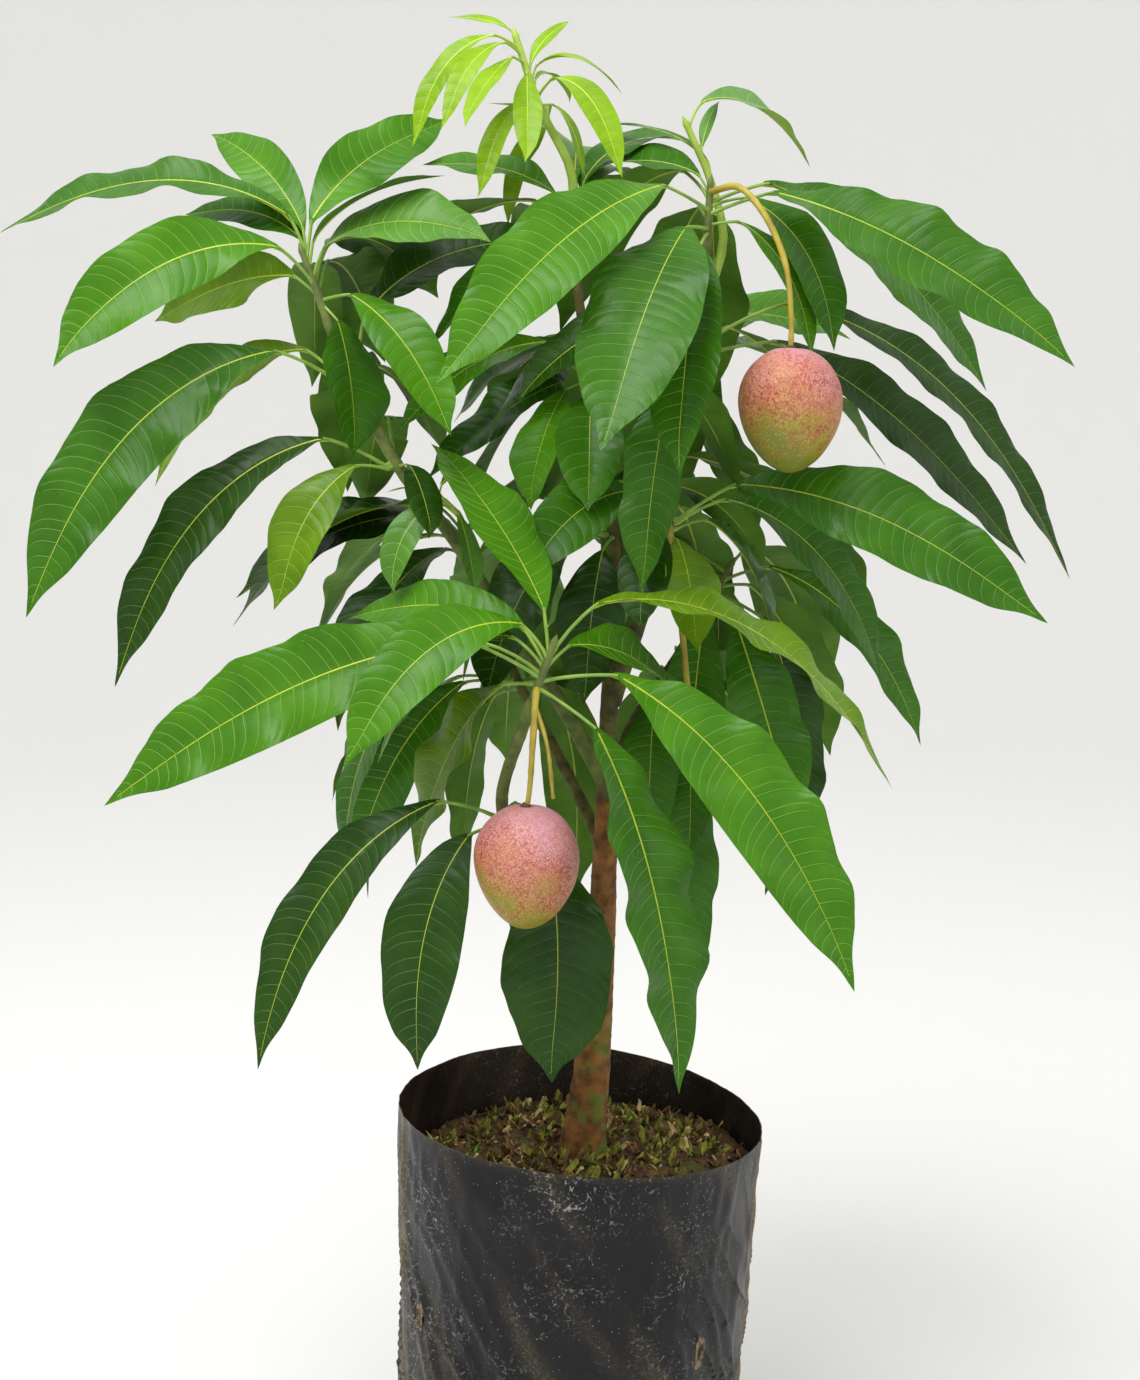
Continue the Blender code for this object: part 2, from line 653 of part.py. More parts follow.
def make_soil(group, finish):
    """The soil that fills the bag, a little lower at the wall than round the trunk."""
    inset = BAG_WALL + GAP + 0.0001
    floor = BAG_WALL + GAP
    rings = [bag_ring(floor, SOIL_FOOT_INSET), bag_ring(FOOT_TURN[0] + 0.001, inset + 0.002),
             bag_ring(FOOT_HEIGHT + 0.001, inset)]
    rings += [bag_ring(share, inset, rim=True) for share in WALL_SHARES]
    rings.append(bag_ring(SOIL_TOP - SOIL_DIP, inset))
    middle = Vector(LIMBS["trunk"][2][0])
    edge = rings[-1]
    for share in (0.75, 0.5, 0.22):
        ring = []
        for i, corner in enumerate(edge):
            place = middle.lerp(corner, share)
            swell = SOIL_SWELL * math.sin(5 * i * 2 * math.pi / BAG_SIDES + 9 * share)
            place.z = SOIL_TOP - SOIL_DIP * share ** 2 + (swell if share > 0.3 else 0.0)
            if share < 0.3:
                place.z = SOIL_TOP
            ring.append(place)
        rings.append(ring)
    soil = lofted("soil", *loft(rings), group)
    soil.data.materials.append(finish)


def make_fruit(name, group, finish):
    """A mango on its stalk: a full shoulder above, narrower and a little flat below."""
    whorl, middle, route = FRUITS[name]
    middle = Vector(middle)
    work = bmesh.new()
    bmesh.ops.create_uvsphere(work, u_segments=14, v_segments=10, radius=1.0)
    for vert in work.verts:
        x, y, z = vert.co
        full = FRUIT_RADIUS * (1 + FRUIT_SHOULDER * z - 0.05 * z * z)
        vert.co = middle + Vector((x * full, y * full * FRUIT_FLATNESS, z * FRUIT_HEIGHT / 2))
    mesh = bpy.data.meshes.new(name)
    work.to_mesh(mesh)
    work.free()
    fruit = add_object(name, mesh, group)
    line = stem_line(whorl)
    run = (line[-1] - line[0]).normalized()
    way = (Vector(route[0]) - line[0]).dot(run)
    reach = (line[-1] - line[0]).length
    ahead = max(STEM_SPARE, min(way, reach - STEM_SPARE))
    seat = line[0] + run * ahead
    out = Vector(route[0]) - seat
    out = (out - run * out.dot(run)).normalized()
    start = seat + out * (STEM_RADIUS - STEM_TAPER * ahead / reach + GAP)
    sunk = middle + Vector((0, 0, FRUIT_HEIGHT * STALK_SUNK))
    add_stalk(fruit, [start, start + out * STALK_LEAD] + [Vector(p) for p in route] + [sunk])
    if name == "fruit_front":
        add_stalk(fruit, SIDE_STALK)
    fruit.data.materials.append(finish)
    return fruit


def make_plant(group, finishes):
    """Trunk, boughs, fruits and every whorl of leaves."""
    obstacles = []
    for name in LIMBS:
        points, radii = limb_line(name)
        limb = tube(name, points, radii, group, TRUNK_SIDES if name == "trunk" else LIMB_SIDES)
        if name != "trunk":
            cut_clear(limb, "trunk", group)
        limb.data.materials.append(finishes["bark"])
        obstacles.append((name, object_tree(limb)))
    for name in FRUITS:
        obstacles.append((name, object_tree(make_fruit(name, group, finishes["fruit"]))))
    stems = {name: make_stem(name, group) for name in WHORLS}
    obstacles += [(name, object_tree(stem)) for name, stem in stems.items()]
    for name, leaves in grow(obstacles).items():
        parts = collection(name + "_leaves")
        shapes = [lofted(f"{name}_leaf_{number}", *leaf_shape(root, leaf), parts)
                  for number, root, leaf in leaves]
        unite(stems[name], shapes, parts)
        finish = finishes["young_leaf" if name in STEM_ROUTES else "leaf"]
        stems[name].data.materials.append(finish)


def main():
    """Make the whole plant in its bag."""
    clear_scene()
    group = collection("mango_sapling")
    finishes = {
        "film": material("black_film", (0.012, 0.012, 0.014), 0.45),
        "soil": material("soil", (0.09, 0.06, 0.035), 0.95),
        "bark": material("bark", (0.10, 0.07, 0.04), 0.8),
        "leaf": material("leaf", (0.03, 0.16, 0.02), 0.35),
        "young_leaf": material("young_leaf", (0.22, 0.42, 0.03), 0.4),
        "fruit": material("fruit_skin", (0.70, 0.32, 0.26), 0.45),
    }
    make_bag(group, finishes["film"])
    make_soil(group, finishes["soil"])
    make_plant(group, finishes)


main()
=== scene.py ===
# %% [markdown]
# # A young mango tree in a grow bag
#
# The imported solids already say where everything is: the bag, the trunk and its boughs, two
# fruits, and twenty whorls of leaves. This lesson dresses them. Every limb and leaf is
# grown again by the rule that made the solids, now with bark, ribs, veins and wavy edges.
# Everything is in metres, +Z is up, and the viewer stands at -Y.

# %% Load the frame
import math
import random
from collections import namedtuple

import bmesh
import bpy
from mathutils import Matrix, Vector, noise
from mathutils.kdtree import KDTree


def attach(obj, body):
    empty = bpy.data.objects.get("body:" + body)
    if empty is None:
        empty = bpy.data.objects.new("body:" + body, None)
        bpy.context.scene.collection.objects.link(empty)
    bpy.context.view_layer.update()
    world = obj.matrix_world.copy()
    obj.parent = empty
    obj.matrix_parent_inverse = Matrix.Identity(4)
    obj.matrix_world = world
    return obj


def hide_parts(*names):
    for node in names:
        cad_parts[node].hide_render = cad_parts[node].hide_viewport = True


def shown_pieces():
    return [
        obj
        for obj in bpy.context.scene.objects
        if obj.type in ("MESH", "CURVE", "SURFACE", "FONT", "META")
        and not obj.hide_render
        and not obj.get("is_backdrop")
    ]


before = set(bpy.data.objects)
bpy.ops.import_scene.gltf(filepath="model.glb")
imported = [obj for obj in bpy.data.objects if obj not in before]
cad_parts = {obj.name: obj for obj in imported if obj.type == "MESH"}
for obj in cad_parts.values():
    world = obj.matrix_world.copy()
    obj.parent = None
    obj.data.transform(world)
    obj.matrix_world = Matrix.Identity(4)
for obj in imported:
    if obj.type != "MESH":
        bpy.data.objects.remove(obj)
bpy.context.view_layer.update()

print("packed solids:", len(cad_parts))

# %% [markdown]
# ## Camera, floor and light
#
# The camera stands 1.5 m off, a little above the middle of the plant, and looks down by 9
# degrees. That tilt is why the bag's rim shows as an ellipse. The plant stands on a pale
# floor that sweeps up into a pale wall all round, so no horizon cuts through the leaves.
# Overcast daylight comes from one broad lamp above, a weaker one at the side, and the sky.

# %% Camera
CAMERA_PLACE = (0.0026, -1.492, 0.913)
CAMERA_TILT = 9.1
LENS = 36.0 * 2000 / 1380

camera_data = bpy.data.cameras.new("camera")
camera_data.lens = LENS
camera_data.sensor_width = 36.0
camera = bpy.data.objects.new("camera", camera_data)
camera.location = CAMERA_PLACE
camera.rotation_euler = (math.radians(90 - CAMERA_TILT), 0.0, 0.0)
bpy.context.scene.collection.objects.link(camera)
bpy.context.scene.camera = camera
bpy.context.scene.view_settings.view_transform = "Standard"
print("lens", round(LENS, 1), "mm")


# %% Helpers for objects and node trees
def shown(name, mesh):
    """A new object in the scene, at the origin."""
    made = bpy.data.objects.new(name, mesh)
    bpy.context.scene.collection.objects.link(made)
    return made


def paint(code):
    """A colour such as 3d8f2f as the linear red, green, blue and alpha that shaders want."""
    channels = [int(code[i:i + 2], 16) / 255 for i in (0, 2, 4)]
    linear = [c / 12.92 if c <= 0.04045 else ((c + 0.055) / 1.055) ** 2.4 for c in channels]
    return (*linear, 1.0)


def pin(sockets, key):
    """A node's socket by its number, or the one in use that has that name."""
    if isinstance(key, int):
        return sockets[key]
    return next(s for s in sockets if s.name == key and s.enabled)


def add(tree, kind, inputs=None, out=None, **settings):
    """Add a node. Each input is a plain value or the socket that feeds it."""
    made = tree.nodes.new(kind)
    for name, value in settings.items():
        setattr(made, name, value)
    for key, value in (inputs or {}).items():
        socket = pin(made.inputs, key)
        if isinstance(value, bpy.types.NodeSocket):
            tree.links.new(value, socket)
        else:
            socket.default_value = value
    return made if out is None else pin(made.outputs, out)


def sums(tree, kind, *values):
    """One arithmetic node on numbers."""
    return add(tree, "ShaderNodeMath", dict(enumerate(values)), out=0, operation=kind)


def vectors(tree, kind, *values):
    """One arithmetic node on vectors."""
    keys = (0, 3) if kind == "SCALE" else range(len(values))
    return add(tree, "ShaderNodeVectorMath", dict(zip(keys, values)), out=0, operation=kind)


def noise_at(tree, place, scale, detail, **more):
    """Soft noise round a half, read at a place."""
    return add(tree, "ShaderNodeTexNoise",
               {"Vector": place, "Scale": scale, "Detail": detail, **more}, out=0)


print("leaf green as a shader wants it:", [round(c, 3) for c in paint("396c0c")])


# %% Helpers for meshes and materials
def finish(name, **sockets):
    """A material whose Principled shader has these plain values. Returns it with its tree."""
    made = bpy.data.materials.new(name)
    made.use_nodes = True
    shader = made.node_tree.nodes["Principled BSDF"]
    for label, value in sockets.items():
        shader.inputs[label.replace("_", " ")].default_value = value
    return made, made.node_tree, shader.inputs


def join_rings(work, rings):
    """Faces between each ring of corners and the next."""
    for low, high in zip(rings, rings[1:]):
        for k, corner in enumerate(low):
            after = (k + 1) % len(low)
            work.faces.new((corner, low[after], high[after], high[k]))


def piece_from(work, name, *materials, smooth=True):
    """A finished mesh in the making as a shown object with its materials."""
    for face in work.faces:
        face.smooth = smooth
    mesh = bpy.data.meshes.new(name)
    work.to_mesh(mesh)
    work.free()
    for material in materials:
        mesh.materials.append(material)
    return shown(name, mesh)


def faces_of(obj):
    """How many triangles a piece has."""
    obj.data.calc_loop_triangles()
    return len(obj.data.loop_triangles)


print("triangles in the packed trunk:", faces_of(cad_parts["trunk"]))

# %% Floor
FLOOR_FLAT = 3.4
FLOOR_SIDES = 96
SWEEP_STEPS = 12
SWEEP_HEIGHT = 2.6
WALL_RADIUS = 6.0
WALL_HEIGHT = 5.0
UNDER_BAG = 0.0005

floor_work = bmesh.new()
sweep = [k * math.pi / 2 / SWEEP_STEPS for k in range(1, SWEEP_STEPS + 1)]
section = [(0.02, 0), (1.5, 0), (FLOOR_FLAT, 0)]
section += [(FLOOR_FLAT + (WALL_RADIUS - FLOOR_FLAT) * math.sin(a),
             SWEEP_HEIGHT * (1 - math.cos(a))) for a in sweep]
section.append((WALL_RADIUS, WALL_HEIGHT))
turns = [2 * math.pi * k / FLOOR_SIDES for k in range(FLOOR_SIDES)]
rings = [[floor_work.verts.new((r * math.cos(a), r * math.sin(a), z - UNDER_BAG)) for a in turns]
         for r, z in section]
floor_work.faces.new(rings[0])
join_rings(floor_work, rings)
bmesh.ops.recalc_face_normals(floor_work, faces=floor_work.faces)
floor_paint, _, _ = finish("floor_paint", Base_Color=paint("f0f0ef"), Roughness=0.9)
floor = piece_from(floor_work, "floor", floor_paint)
floor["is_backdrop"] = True
print("floor:", faces_of(floor), "triangles")

# %% Lamps and sky: each lamp's place, its size and its power
LAMPS = {"overhead": ((-0.7, -0.9, 2.8), 1.5, 52), "side": ((2.2, -1.6, 1.5), 1.4, 8),
         "front": ((-0.6, -2.6, 1.0), 1.8, 3)}
MIDDLE_OF_PLANT = Vector((0, 0, 0.7))
for name, (place, size, power) in LAMPS.items():
    lamp_data = bpy.data.lights.new(name, "AREA")
    lamp_data.size = size
    lamp_data.energy = power
    lamp = bpy.data.objects.new(name, lamp_data)
    lamp.location = place
    aim = MIDDLE_OF_PLANT - Vector(place)
    lamp.rotation_euler = aim.to_track_quat("-Z", "Y").to_euler()
    bpy.context.scene.collection.objects.link(lamp)

sky = bpy.data.worlds.new("sky")
sky.use_nodes = True
sky.node_tree.nodes["Background"].inputs["Color"].default_value = paint("f4f3f1")
sky.node_tree.nodes["Background"].inputs["Strength"].default_value = 1.03
bpy.context.scene.world = sky
print("lamps:", ", ".join(LAMPS))

# %% [markdown]
# ## The rule that the plant grows by
#
# A limb is a smooth curve through a few points of its own, thick at its root and thin at its
# tip. A whorl is a bunch of leaves that leave the limb close together. A leaf is six
# numbers: where it heads, how steeply, how far it droops, its length and width, and its roll.
# The solids keep every leaf clear of its neighbours by trying small turns, so the same turns
# are tried here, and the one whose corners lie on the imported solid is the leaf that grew.

# %% Sizes and routes of the limbs
Leaf = namedtuple("Leaf", "heading pitch droop length width roll")
Whorl = namedtuple("Whorl", "limb share leaves fill")
Fill = namedtuple("Fill", "count first last pitch length")

SEED = 7
GAP = 0.0003

BAG_BASE_RADIUS = 0.126
BAG_RIM_RADIUS = 0.140
BAG_RIM_SHIFT = 0.012
BAG_RIM_HEIGHT = 0.3425
BAG_RIM_LEAN = 0.012
BAG_RIM_SAG = 0.0025
BAG_CORNER = 0.013
FOOT_HEIGHT = 0.016
SOIL_TOP = 0.309
SOIL_DIP = 0.010

# Limbs: radius at the root, radius at the tip, and the route through its own points.
TRUNK_FLARE = 0.0025
TRUNK_FLARE_HEIGHT = 0.018
LIMB_STEP = 0.03
LIMBS = {
    "trunk": (0.0165, 0.0032, [
        (0.013, 0.0, SOIL_TOP + GAP), (0.013, 0.0, SOIL_TOP + 0.012), (0.020, 0.0, 0.382),
        (0.028, 0.0, 0.511), (0.032, 0.0, 0.651), (0.036, 0.008, 0.772),
        (0.027, 0.010, 0.854), (0.014, 0.008, 0.927), (0.006, 0.0, 0.999), (0.005, 0.0, 1.040),
    ]),
    "bough_front": (0.0060, 0.0042, [
        (0.026, 0.0, 0.490), (-0.004, -0.040, 0.530), (-0.036, -0.078, 0.572),
        (-0.046, -0.092, 0.612), (-0.030, -0.110, 0.666), (-0.023, -0.117, 0.686),
    ]),
    "bough_left": (0.0062, 0.0042, [
        (0.031, 0.0, 0.600), (-0.006, -0.010, 0.668), (-0.046, -0.020, 0.730),
        (-0.085, -0.030, 0.794), (-0.122, -0.030, 0.843), (-0.157, -0.030, 0.909),
        (-0.172, -0.030, 0.950),
    ]),
    "bough_right": (0.0066, 0.0042, [
        (0.034, 0.004, 0.664), (0.055, -0.012, 0.730), (0.072, -0.020, 0.785),
        (0.076, -0.020, 0.833), (0.086, -0.020, 0.891), (0.097, -0.020, 0.941),
        (0.101, -0.020, 1.000),
    ]),
    "bough_right_back": (0.0052, 0.0038, [
        (0.030, 0.0, 0.590), (0.050, 0.030, 0.640), (0.085, 0.052, 0.690), (0.110, 0.066, 0.730),
    ]),
    "bough_left_back": (0.0054, 0.0038, [
        (0.029, 0.0, 0.550), (-0.004, 0.045, 0.610), (-0.046, 0.095, 0.680),
        (-0.070, 0.128, 0.745),
    ]),
    "bough_back": (0.0050, 0.0036, [
        (0.035, 0.006, 0.740), (0.044, 0.050, 0.790), (0.054, 0.100, 0.840),
        (0.060, 0.130, 0.885),
    ]),
}

print("limbs:", ", ".join(LIMBS))

# %% Sizes of stems and leaves
STEM_RADIUS = 0.0036
STEM_TAPER = 0.0012
COLLAR_WALL = 0.0034
COLLAR_SIDES = 8
ROOT_DEPTH = 0.62
ROOT_STEP = 0.0026
STEM_START = 0.010
STEM_SPARE = 0.004
STEM_STEP = 0.012
PETIOLE_SHARE = 0.15
PETIOLE_RADIUS = 0.0014
LEAF_THICKNESS = 0.011
LEAF_THINNING = 0.45
LEAF_FOLD = 10.0
DROOP_POWER = 1.6
PETIOLE_LIFT = 22.0
STEEPEST_RISE = 80.0
ROLL_SHARE = 0.4
LEAF_STATIONS = [0.0, PETIOLE_SHARE, 0.28, 0.46, 0.65, 0.84, 1.0]
# Small turns in heading, pitch and roll that keep a leaf clear of its neighbours.
TURNS = [(0, 0, 0), (5, 0, 0), (-5, 0, 0), (0, 5, 0), (0, -5, 0), (9, 0, 12), (-9, 0, -12),
         (0, 10, 0), (0, -10, 0), (0, 0, 20), (0, 0, -20), (14, 4, 0), (-14, -4, 0),
         (10, -8, 20), (-10, 8, -20), (0, 16, 0), (0, -16, 0), (20, 0, 10), (-20, 0, -10),
         (24, -10, 0), (-24, 10, 0)]

print("turns that a leaf may have taken:", len(TURNS))

# %% The whorls
# Each whorl: its limb, how far along the limb it sits, its leaves, and the leaves that
# fill it out: how many, from which heading to which, their pitch and their length.
WHORLS = {
    "left_crown": Whorl("bough_left", 1.0, [
        (173, 9, 80, 274, 44, -34), (208, -15, 78, 232, 56, -62), (138, 42, 48, 166, 36, -48),
        (40, 41, 50, 180, 46, 50), (347, 12, 70, 155, 56, 40), (152, -6, 40, 162, 48, -62),
        (8, 27, 65, 130, 34, 25), (330, -40, 55, 160, 42, 40), (326, -74, 30, 118, 58, 0),
        (152, 22, 70, 136, 30, -50),
    ], Fill(3, 55, 105, 0, 220)),
    "left_middle": Whorl("bough_left", 0.92, [
        (202, -34, 78, 322, 64, -66), (154, -24, 80, 220, 40, -60), (10, 38, 75, 190, 50, 40),
    ], Fill(3, 35, 105, -10, 220)),
    "left_lower": Whorl("bough_left", 0.78, [
        (195, -37, 82, 294, 46, -54), (205, -49, 70, 148, 42, -48), (300, -45, 50, 76, 28, 0),
    ], Fill(2, 40, 100, -20, 220)),
    "front_crown": Whorl("bough_front", 1.0, [
        (130, 48, 30, 200, 56, 0), (183, -16, 45, 338, 66, -70), (210, -20, 100, 204, 48, -50),
        (6, -19, 95, 322, 46, 22), (345, -42, 55, 332, 66, 60), (324, -67, 36, 313, 66, 15),
        (150, 8, 50, 184, 40, -45), (165, -46, 104, 282, 40, -45), (38, -18, 65, 170, 52, 35),
        (156, -28, 90, 205, 32, -45), (146, -52, 50, 198, 60, -58),
    ], Fill(1, 60, 80, 0, 170)),
    "front_lower": Whorl("bough_front", 0.57, [
        (200, -42, 80, 285, 46, -48), (236, -61, 76, 210, 56, -26), (345, -84, 25, 203, 80, 74),
    ], Fill(1, 75, 85, -45, 200)),
    "right_crown": Whorl("bough_right", 1.0, [
        (337, -22, 34, 300, 66, 45), (24, -28, 50, 303, 66, 60), (223, -26, 45, 300, 62, -46),
        (244, -41, 36, 246, 80, -16), (257, -54, 28, 218, 54, 12), (352, -47, 80, 160, 42, 50),
        (82, -54, 85, 183, 50, 32), (346, -50, 70, 138, 28, 35), (149, 15, 46, 108, 44, -22),
    ], Fill(2, 80, 140, -25, 240)),
    "right_middle": Whorl("bough_right", 0.80, [
        (4, -32, 72, 372, 42, 44), (17, -31, 38, 332, 54, 58), (240, -67, 30, 190, 48, 0),
        (180, -21, 60, 150, 44, -40),
    ], Fill(3, 50, 150, -30, 240)),
    "right_lower": Whorl("bough_right", 0.39, [
        (343, -14, 50, 298, 64, 56), (215, -20, 80, 140, 48, -52), (287, -52, 60, 108, 40, 0),
        (35, -50, 80, 188, 52, 40), (252, -50, 60, 100, 40, 0), (13, -36, 80, 240, 48, 52),
    ], Fill(2, 60, 130, -30, 230)),
    "right_back_crown": Whorl("bough_right_back", 1.0, [
        (355, -38, 70, 232, 42, 45), (309, -56, 10, 212, 56, 30), (256, -71, 50, 232, 54, 0),
        (2, -80, 60, 275, 54, 72),
    ], Fill(5, 30, 150, -30, 250)),
    "right_back_lower": Whorl("bough_right_back", 0.55, [
        (322, -76, 12, 264, 48, 32), (25, -42, 55, 215, 50, 40), (262, -60, 50, 150, 44, 0),
    ], Fill(4, 50, 140, -45, 240)),
    "left_back_crown": Whorl("bough_left_back", 1.0, [
        (190, -10, 70, 220, 58, -30), (300, 20, 70, 150, 52, 20),
    ], Fill(7, 20, 250, -25, 250)),
    "left_back_lower": Whorl("bough_left_back", 0.62, [
        (200, -50, 60, 230, 58, -40),
    ], Fill(5, 40, 220, -45, 250)),
    "back_crown": Whorl("bough_back", 1.0, [
        (350, 10, 70, 190, 56, 30),
    ], Fill(8, 0, 240, -20, 250)),
    "back_middle": Whorl("bough_back", 0.60, [], Fill(5, 20, 170, -40, 240)),
    "leader_low": Whorl("trunk", 0.70, [
        (200, -45, 60, 180, 56, -30), (260, -62, 40, 140, 50, 0),
    ], Fill(5, 20, 170, -35, 230)),
    "leader_middle": Whorl("trunk", 0.86, [
        (188, -21, 62, 163, 50, -30), (222, -59, 42, 115, 44, -10), (268, -56, 20, 118, 48, 0),
        (152, -34, 65, 112, 40, -30), (146, -20, 60, 140, 46, -40), (75, -56, 70, 135, 48, 20),
    ], Fill(4, 20, 120, -25, 220)),
    "leader_high": Whorl("trunk", 0.975, [
        (162, 21, 50, 130, 36, -30), (165, -36, 30, 138, 44, -40), (142, -39, 48, 105, 42, -20),
        (48, 33, 80, 138, 34, 30),
    ], Fill(5, 60, 160, 0, 190)),
    "young_flush": Whorl("trunk", 1.0, [
        (151, 20, 30, 66, 12, -20), (200, -41, 90, 128, 20, -40), (226, -36, 80, 113, 18, -30),
        (235, -30, 30, 114, 17, -20), (272, -50, 20, 95, 21, 0), (45, 70, 50, 64, 13, 20),
        (0, 2, 120, 88, 14, 15), (57, 0, 110, 66, 14, 20), (309, -32, 90, 136, 24, 20),
        (328, -54, 68, 72, 14, 0), (232, -42, 80, 110, 19, -20), (180, 15, 20, 45, 10, 0),
        (100, -10, 90, 105, 18, 0), (120, -40, 80, 110, 18, 0),
    ], None),
    "left_sprout": Whorl("bough_left", 0.70, [
        (212, -46, 90, 93, 26, -40), (314, -66, 29, 72, 20, 0), (190, 10, 60, 48, 12, 0),
        (60, 10, 60, 70, 16, 20),
    ], None),
    "right_sprout": Whorl("bough_right", 0.93, [
        (27, -10, 100, 135, 44, 25), (60, 72, 30, 50, 12, 0), (155, 30, 60, 108, 14, -10),
    ], None),
}

print("whorls:", len(WHORLS), "with", sum(len(w.leaves) for w in WHORLS.values()), "posed leaves")

# %% Routes of stems, and the fruits
# Stems that aren't straight on from a limb's tip, or that stand off its side.
STEM_ROUTES = {
    "young_flush": [(0.001, 0.0, 1.062), (-0.020, 0.0, 1.102), (-0.036, 0.0, 1.148)],
    "left_sprout": [(-0.088, -0.038, 0.818), (-0.080, -0.040, 0.811)],
    "right_sprout": [(0.114, -0.006, 1.008), (0.105, 0.002, 1.048), (0.087, -0.006, 1.086)],
}

# A stalk whose fruit has dropped: the whorl it grows from, its heading there, and its route.
BARE_STALK = ("right_lower", 280, [
    (0.079, -0.046, 0.772), (0.083, -0.052, 0.735), (0.088, -0.056, 0.684),
])

# The two fruits hang on long stalks: the whorl each grows from, the fruit's middle, the route.
# The front one's stalk has a bare side branch.
FRUIT_RADIUS = 0.0368
FRUIT_HEIGHT = 0.088
FRUIT_FLATNESS = 0.93
FRUIT_SHOULDER = 0.13
STALK_RADIUS = 0.0018
STALK_LEAD = 0.004
STALK_SUNK = 0.40
SIDE_STALK = [(-0.021, -0.134, 0.684), (-0.013, -0.139, 0.657), (-0.009, -0.137, 0.620)]
FRUITS = {
    "fruit_front": ("front_crown", (-0.028, -0.142, 0.573), [
        (-0.021, -0.132, 0.690), (-0.023, -0.140, 0.660), (-0.025, -0.142, 0.630),
    ]),
    "fruit_right": ("right_crown", (0.157, -0.072, 0.885), [
        (0.122, -0.042, 1.040), (0.140, -0.058, 1.018), (0.153, -0.068, 0.985),
        (0.157, -0.072, 0.950),
    ]),
}

print("fruits:", ", ".join(FRUITS))


# %% Curves along limbs
def smooth_route(points, step):
    """Points about a step apart on the smooth curve through a route's own points."""
    knots = [Vector(p) for p in points]
    ends = [2 * knots[0] - knots[1]] + knots + [2 * knots[-1] - knots[-2]]
    route = [knots[0]]
    for a, b, c, d in zip(ends, ends[1:], ends[2:], ends[3:]):
        count = max(1, round((c - b).length / step))
        for i in range(1, count + 1):
            t = i / count
            near = b * 2 + (c - a) * t + (2 * a - 5 * b + 4 * c - d) * t * t
            route.append((near + (3 * b - a - 3 * c + d) * t ** 3) / 2)
    return route


def root_flare(name, point):
    """How much the trunk flares at a point, which no bough does."""
    if name != "trunk":
        return 0.0
    return TRUNK_FLARE * math.exp((SOIL_TOP - point.z) / TRUNK_FLARE_HEIGHT)


def limb_line(name):
    """A limb's centre line as points, with its radius at each."""
    root, tip, route = LIMBS[name]
    points = smooth_route(route, LIMB_STEP)
    radii = []
    for i, point in enumerate(points):
        left = 1 - i / (len(points) - 1)
        radii.append(tip + (root - tip) * left ** 2 + root_flare(name, point))
    return points, radii


def along(name, share):
    """Centre, direction and radius of a limb at a share of its way."""
    points, radii = limb_line(name)
    place = share * (len(points) - 1)
    i = min(int(place), len(points) - 2)
    part = place - i
    centre = points[i].lerp(points[i + 1], part)
    radius = radii[i] + (radii[i + 1] - radii[i]) * part
    return centre, (points[i + 1] - points[i]).normalized(), radius


print("the trunk ends at", tuple(round(c, 3) for c in along("trunk", 1.0)[0]))


# %% The shape of one leaf
LEAF_STEPS = 24


def blade_width(u):
    """Half-width of a mango leaf along its blade, as a share of the widest."""
    return 3.6 * u ** 0.9 * max(0.0, 1 - u) ** 0.95


def leaf_rise(leaf):
    """The slope at which a leaf sets out, so that its droop ends on its pitch."""
    return min(STEEPEST_RISE, leaf.pitch + leaf.droop / (1 + 1 / DROOP_POWER))


def leaf_frames(root, leaf, stations):
    """Centre, right-hand side and upward normal of a leaf at each station.

    The stalk rises more steeply than the rule asks, and the blade gives that back.
    """
    turn = math.radians(leaf.heading)
    flat = Vector((math.sin(turn), -math.cos(turn), 0))
    places = [Vector(root)]
    for i in range(LEAF_STEPS):
        t = (i + 0.5) / LEAF_STEPS
        lift = 1.0 if t < PETIOLE_SHARE else PETIOLE_SHARE / (PETIOLE_SHARE - 1)
        slope = (leaf_rise(leaf) + PETIOLE_LIFT * lift
                 - leaf.droop * (1 - (1 - t) ** DROOP_POWER))
        slope = math.radians(min(STEEPEST_RISE, slope))
        run = Vector((math.cos(slope) * math.cos(turn), math.cos(slope) * math.sin(turn),
                      math.sin(slope)))
        places.append(places[-1] + run * (leaf.length / 1000 / LEAF_STEPS))
    frames = []
    for t in stations:
        spot = t * LEAF_STEPS
        i = min(int(spot), LEAF_STEPS - 1)
        run = (places[i + 1] - places[i]).normalized()
        up = flat.cross(run)
        tilt = math.radians(leaf.roll) * min(1.0, t / ROLL_SHARE)
        side = flat * math.cos(tilt) - up * math.sin(tilt)
        frames.append((places[i].lerp(places[i + 1], spot - i), side, side.cross(run)))
    return frames


def leaf_rings(root, leaf, stations=LEAF_STATIONS):
    """Rings of four corners each along a leaf: left edge, top, right edge and underside."""
    half = leaf.width / 2000
    rings = []
    for t, (centre, side, up) in zip(stations, leaf_frames(root, leaf, stations)):
        u = (t - PETIOLE_SHARE) / (1 - PETIOLE_SHARE)
        width = thick = PETIOLE_RADIUS
        lift = 0.0
        if u > 0:
            width = max(half * blade_width(u), PETIOLE_RADIUS * (1 - u))
            thick = LEAF_THICKNESS * leaf.length / 2000 * (1 - LEAF_THINNING * u)
            lift = width * math.tan(math.radians(LEAF_FOLD))
        rings.append([centre - side * width + up * lift, centre + up * thick,
                      centre + side * width + up * lift, centre - up * thick])
    return rings


print("a blade is widest at", max(range(100), key=lambda k: blade_width(k / 100)), "% of its way")


